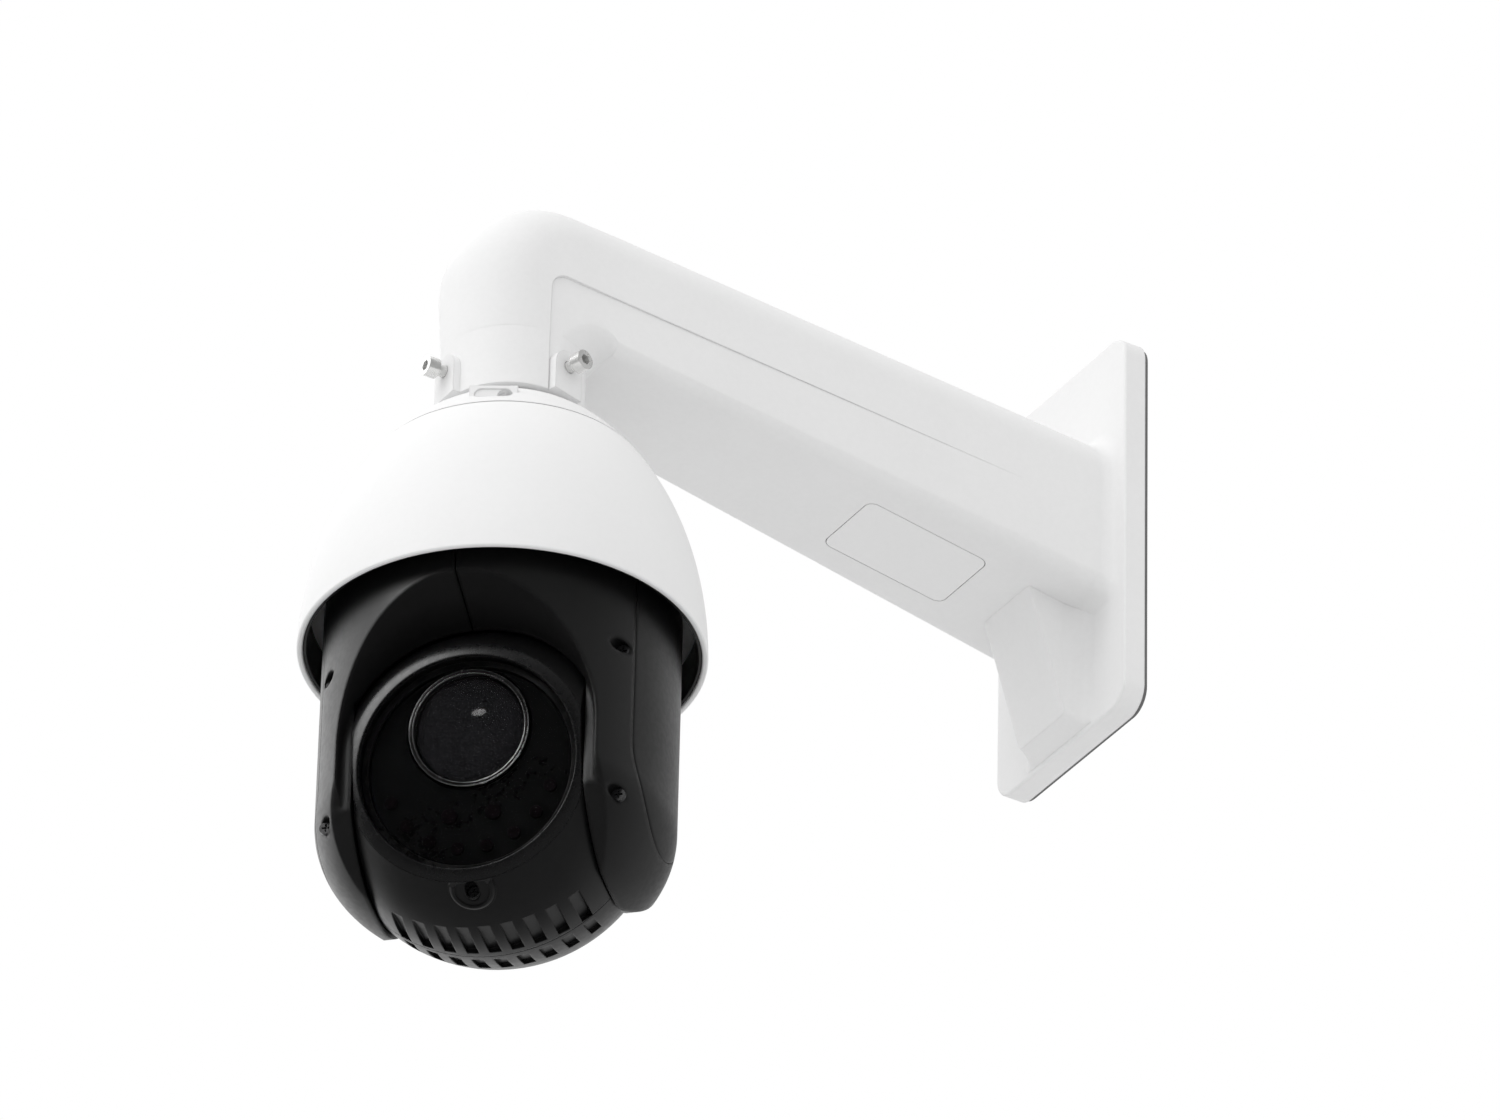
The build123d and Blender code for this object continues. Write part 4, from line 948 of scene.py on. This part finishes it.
@dataclass
class Lamp:
    """One soft lamp, aimed at the camera's dome."""

    name: str
    toward: Triple
    distance: float
    size: Pair
    power: float
    mirrored: bool = False

    def build(self, aim: Vector) -> None:
        """Makes the lamp.

        Args:
            aim: The point that it lights.
        """
        light = bpy.data.lights.new(self.name, "AREA")
        light.shape = "ELLIPSE"
        light.size, light.size_y = self.size
        light.energy = self.power
        lamp = bpy.data.objects.new(self.name, light)
        direction = Vector(self.toward).normalized()
        lamp.location = aim + direction * self.distance
        lamp.rotation_euler = direction.to_track_quat("Z", "Y").to_euler()
        lamp.visible_camera = False
        lamp.visible_glossy = self.mirrored
        bpy.context.scene.collection.objects.link(lamp)


@dataclass(frozen=True)
class Patch:
    """A soft-edged part of the surroundings."""

    toward: Triple
    edge: float
    full: float
    gain: float

    def share(self, graph: Graph, point: Signal) -> Signal:
        """Gives how strongly the patch shows in a direction.

        Args:
            graph: The surroundings' graph.
            point: The direction.

        Returns:
            A value from 0 to the patch's gain.
        """
        return self.gain * graph.along(point, self.toward).ramp(self.edge, self.full)


@dataclass
class Studio:
    """Floor, surroundings, lamps and the camera at the photograph's angle."""

    floor_height: float = -7.0
    floor_size: float = 60.0
    floor_colour: Triple = (0.9, 0.9, 0.9)
    floor_roughness: float = 0.8
    surround: float = 0.885
    mirrored_low: float = 0.16
    bright_sky: Patch = Patch((0.0, 0.5145, 0.8575), -0.4, 0.2, 1.1)
    left_panel: Patch = Patch((-0.751, -0.501, 0.430), 0.60, 0.95, 0.5)
    softbox: Patch = Patch((0.080, -0.845, 0.529), 0.93, 0.975, 4.6)
    dark_front: Patch = Patch((0.927, -0.316, -0.200), -0.25, 0.7, 1.0)
    dim_right: Patch = Patch((0.523, 0.852, 0.020), -0.3, 0.6, 0.72)
    dark_core: Patch = Patch((0.524, -0.835, 0.168), 0.70, 0.95, 1.0)
    aim: Triple = (0.0, -0.16208, -0.05043)
    right: Triple = (0.52317, 0.85199, 0.02005)
    up: Triple = (0.45648, -0.30001, 0.83763)
    back: Triple = (0.71967, -0.42907, -0.54587)
    distance: float = 4.884141
    lens: float = 288.0
    sensor: float = 36.0
    clip: Pair = (0.05, 200.0)
    lamp_aim: Triple = (0.0, -0.276, -0.1)
    lamps: tuple[Lamp, ...] = (
        Lamp("key_lamp", (-0.12, -0.80, 0.58), 3.0, (2.4, 2.4), 17.0),
        Lamp("top_lamp", (0.15, -0.45, 0.88), 3.0, (2.0, 2.0), 14.0),
        Lamp("catch_lamp", (0.5312, -0.8257, 0.1895), 3.018, (0.17, 0.085), 0.16, True),
    )

    def floor(self) -> None:
        """Makes a plain pale floor, well below the camera."""
        half = self.floor_size / 2
        mesh = bpy.data.meshes.new("studio_floor")
        corners = [(-half, -half), (half, -half), (half, half), (-half, half)]
        mesh.from_pydata([(x, y, self.floor_height) for x, y in corners], [], [(0, 1, 2, 3)])
        floor = bpy.data.objects.new("studio_floor", mesh)
        paint = bpy.data.materials.new("floor_paint")
        graph = Graph(paint, "Principled BSDF")
        graph.fix(Base_Color=(*self.floor_colour, 1.0), Roughness=self.floor_roughness)
        mesh.materials.append(paint)
        floor.visible_glossy = False
        bpy.context.scene.collection.objects.link(floor)

    def surroundings(self) -> None:
        """Makes white surroundings: a background, an even light, and a darker side for gloss to mirror."""
        world = bpy.data.worlds.new("studio")
        bpy.context.scene.world = world
        world.cycles.sampling_method = "NONE"
        graph = Graph(world, "Background")
        point = Signal(graph, graph.node("ShaderNodeTexCoord").outputs["Generated"])
        front = self.dark_front.share(graph, point)
        right = self.dim_right.share(graph, point)
        core = self.dark_core.share(graph, point)
        sky = self.bright_sky.share(graph, point) * (1.0 - front) * (1.0 - right)
        panels = self.left_panel.share(graph, point) + self.softbox.share(graph, point)
        mirrored = self.mirrored_low * (1.0 - core) + sky + panels
        path = graph.node("ShaderNodeLightPath")
        glossy = Signal(graph, path.outputs["Is Glossy Ray"])
        seen = Signal(graph, path.outputs["Is Camera Ray"])
        light = glossy * mirrored + (1.0 - glossy) * self.surround
        graph.feed("Strength", seen + (1.0 - seen) * light)
        graph.fix(Color=(1.0, 1.0, 1.0, 1.0))

    def camera(self) -> None:
        """Makes the camera."""
        data = bpy.data.cameras.new("photo_camera")
        data.lens = self.lens
        data.sensor_width = self.sensor
        data.sensor_fit = "HORIZONTAL"
        data.clip_start, data.clip_end = self.clip
        camera = bpy.data.objects.new("photo_camera", data)
        turn = Matrix((self.right, self.up, self.back)).transposed().to_4x4()
        turn.translation = Vector(self.aim) + Vector(self.back) * self.distance
        camera.matrix_world = turn
        bpy.context.scene.collection.objects.link(camera)
        bpy.context.scene.camera = camera

    def build(self) -> None:
        """Makes the whole studio."""
        self.floor()
        self.surroundings()
        for lamp in self.lamps:
            lamp.build(Vector(self.lamp_aim))
        self.camera()
        bpy.context.scene.view_settings.view_transform = "Standard"
        log.info("studio: floor, surroundings, lamps and camera")


def main() -> None:
    """Builds the studio and dresses every sub-assembly."""
    logging.basicConfig(level=logging.INFO, format="%(name)s: %(message)s")
    Studio().build()
    finishes = Finishes()
    shading = Shading()
    for assembly in (WallBracket, Housing, PanHead, CameraBall):
        assembly(finishes, shading).build()


if __name__ == "__main__":
    main()
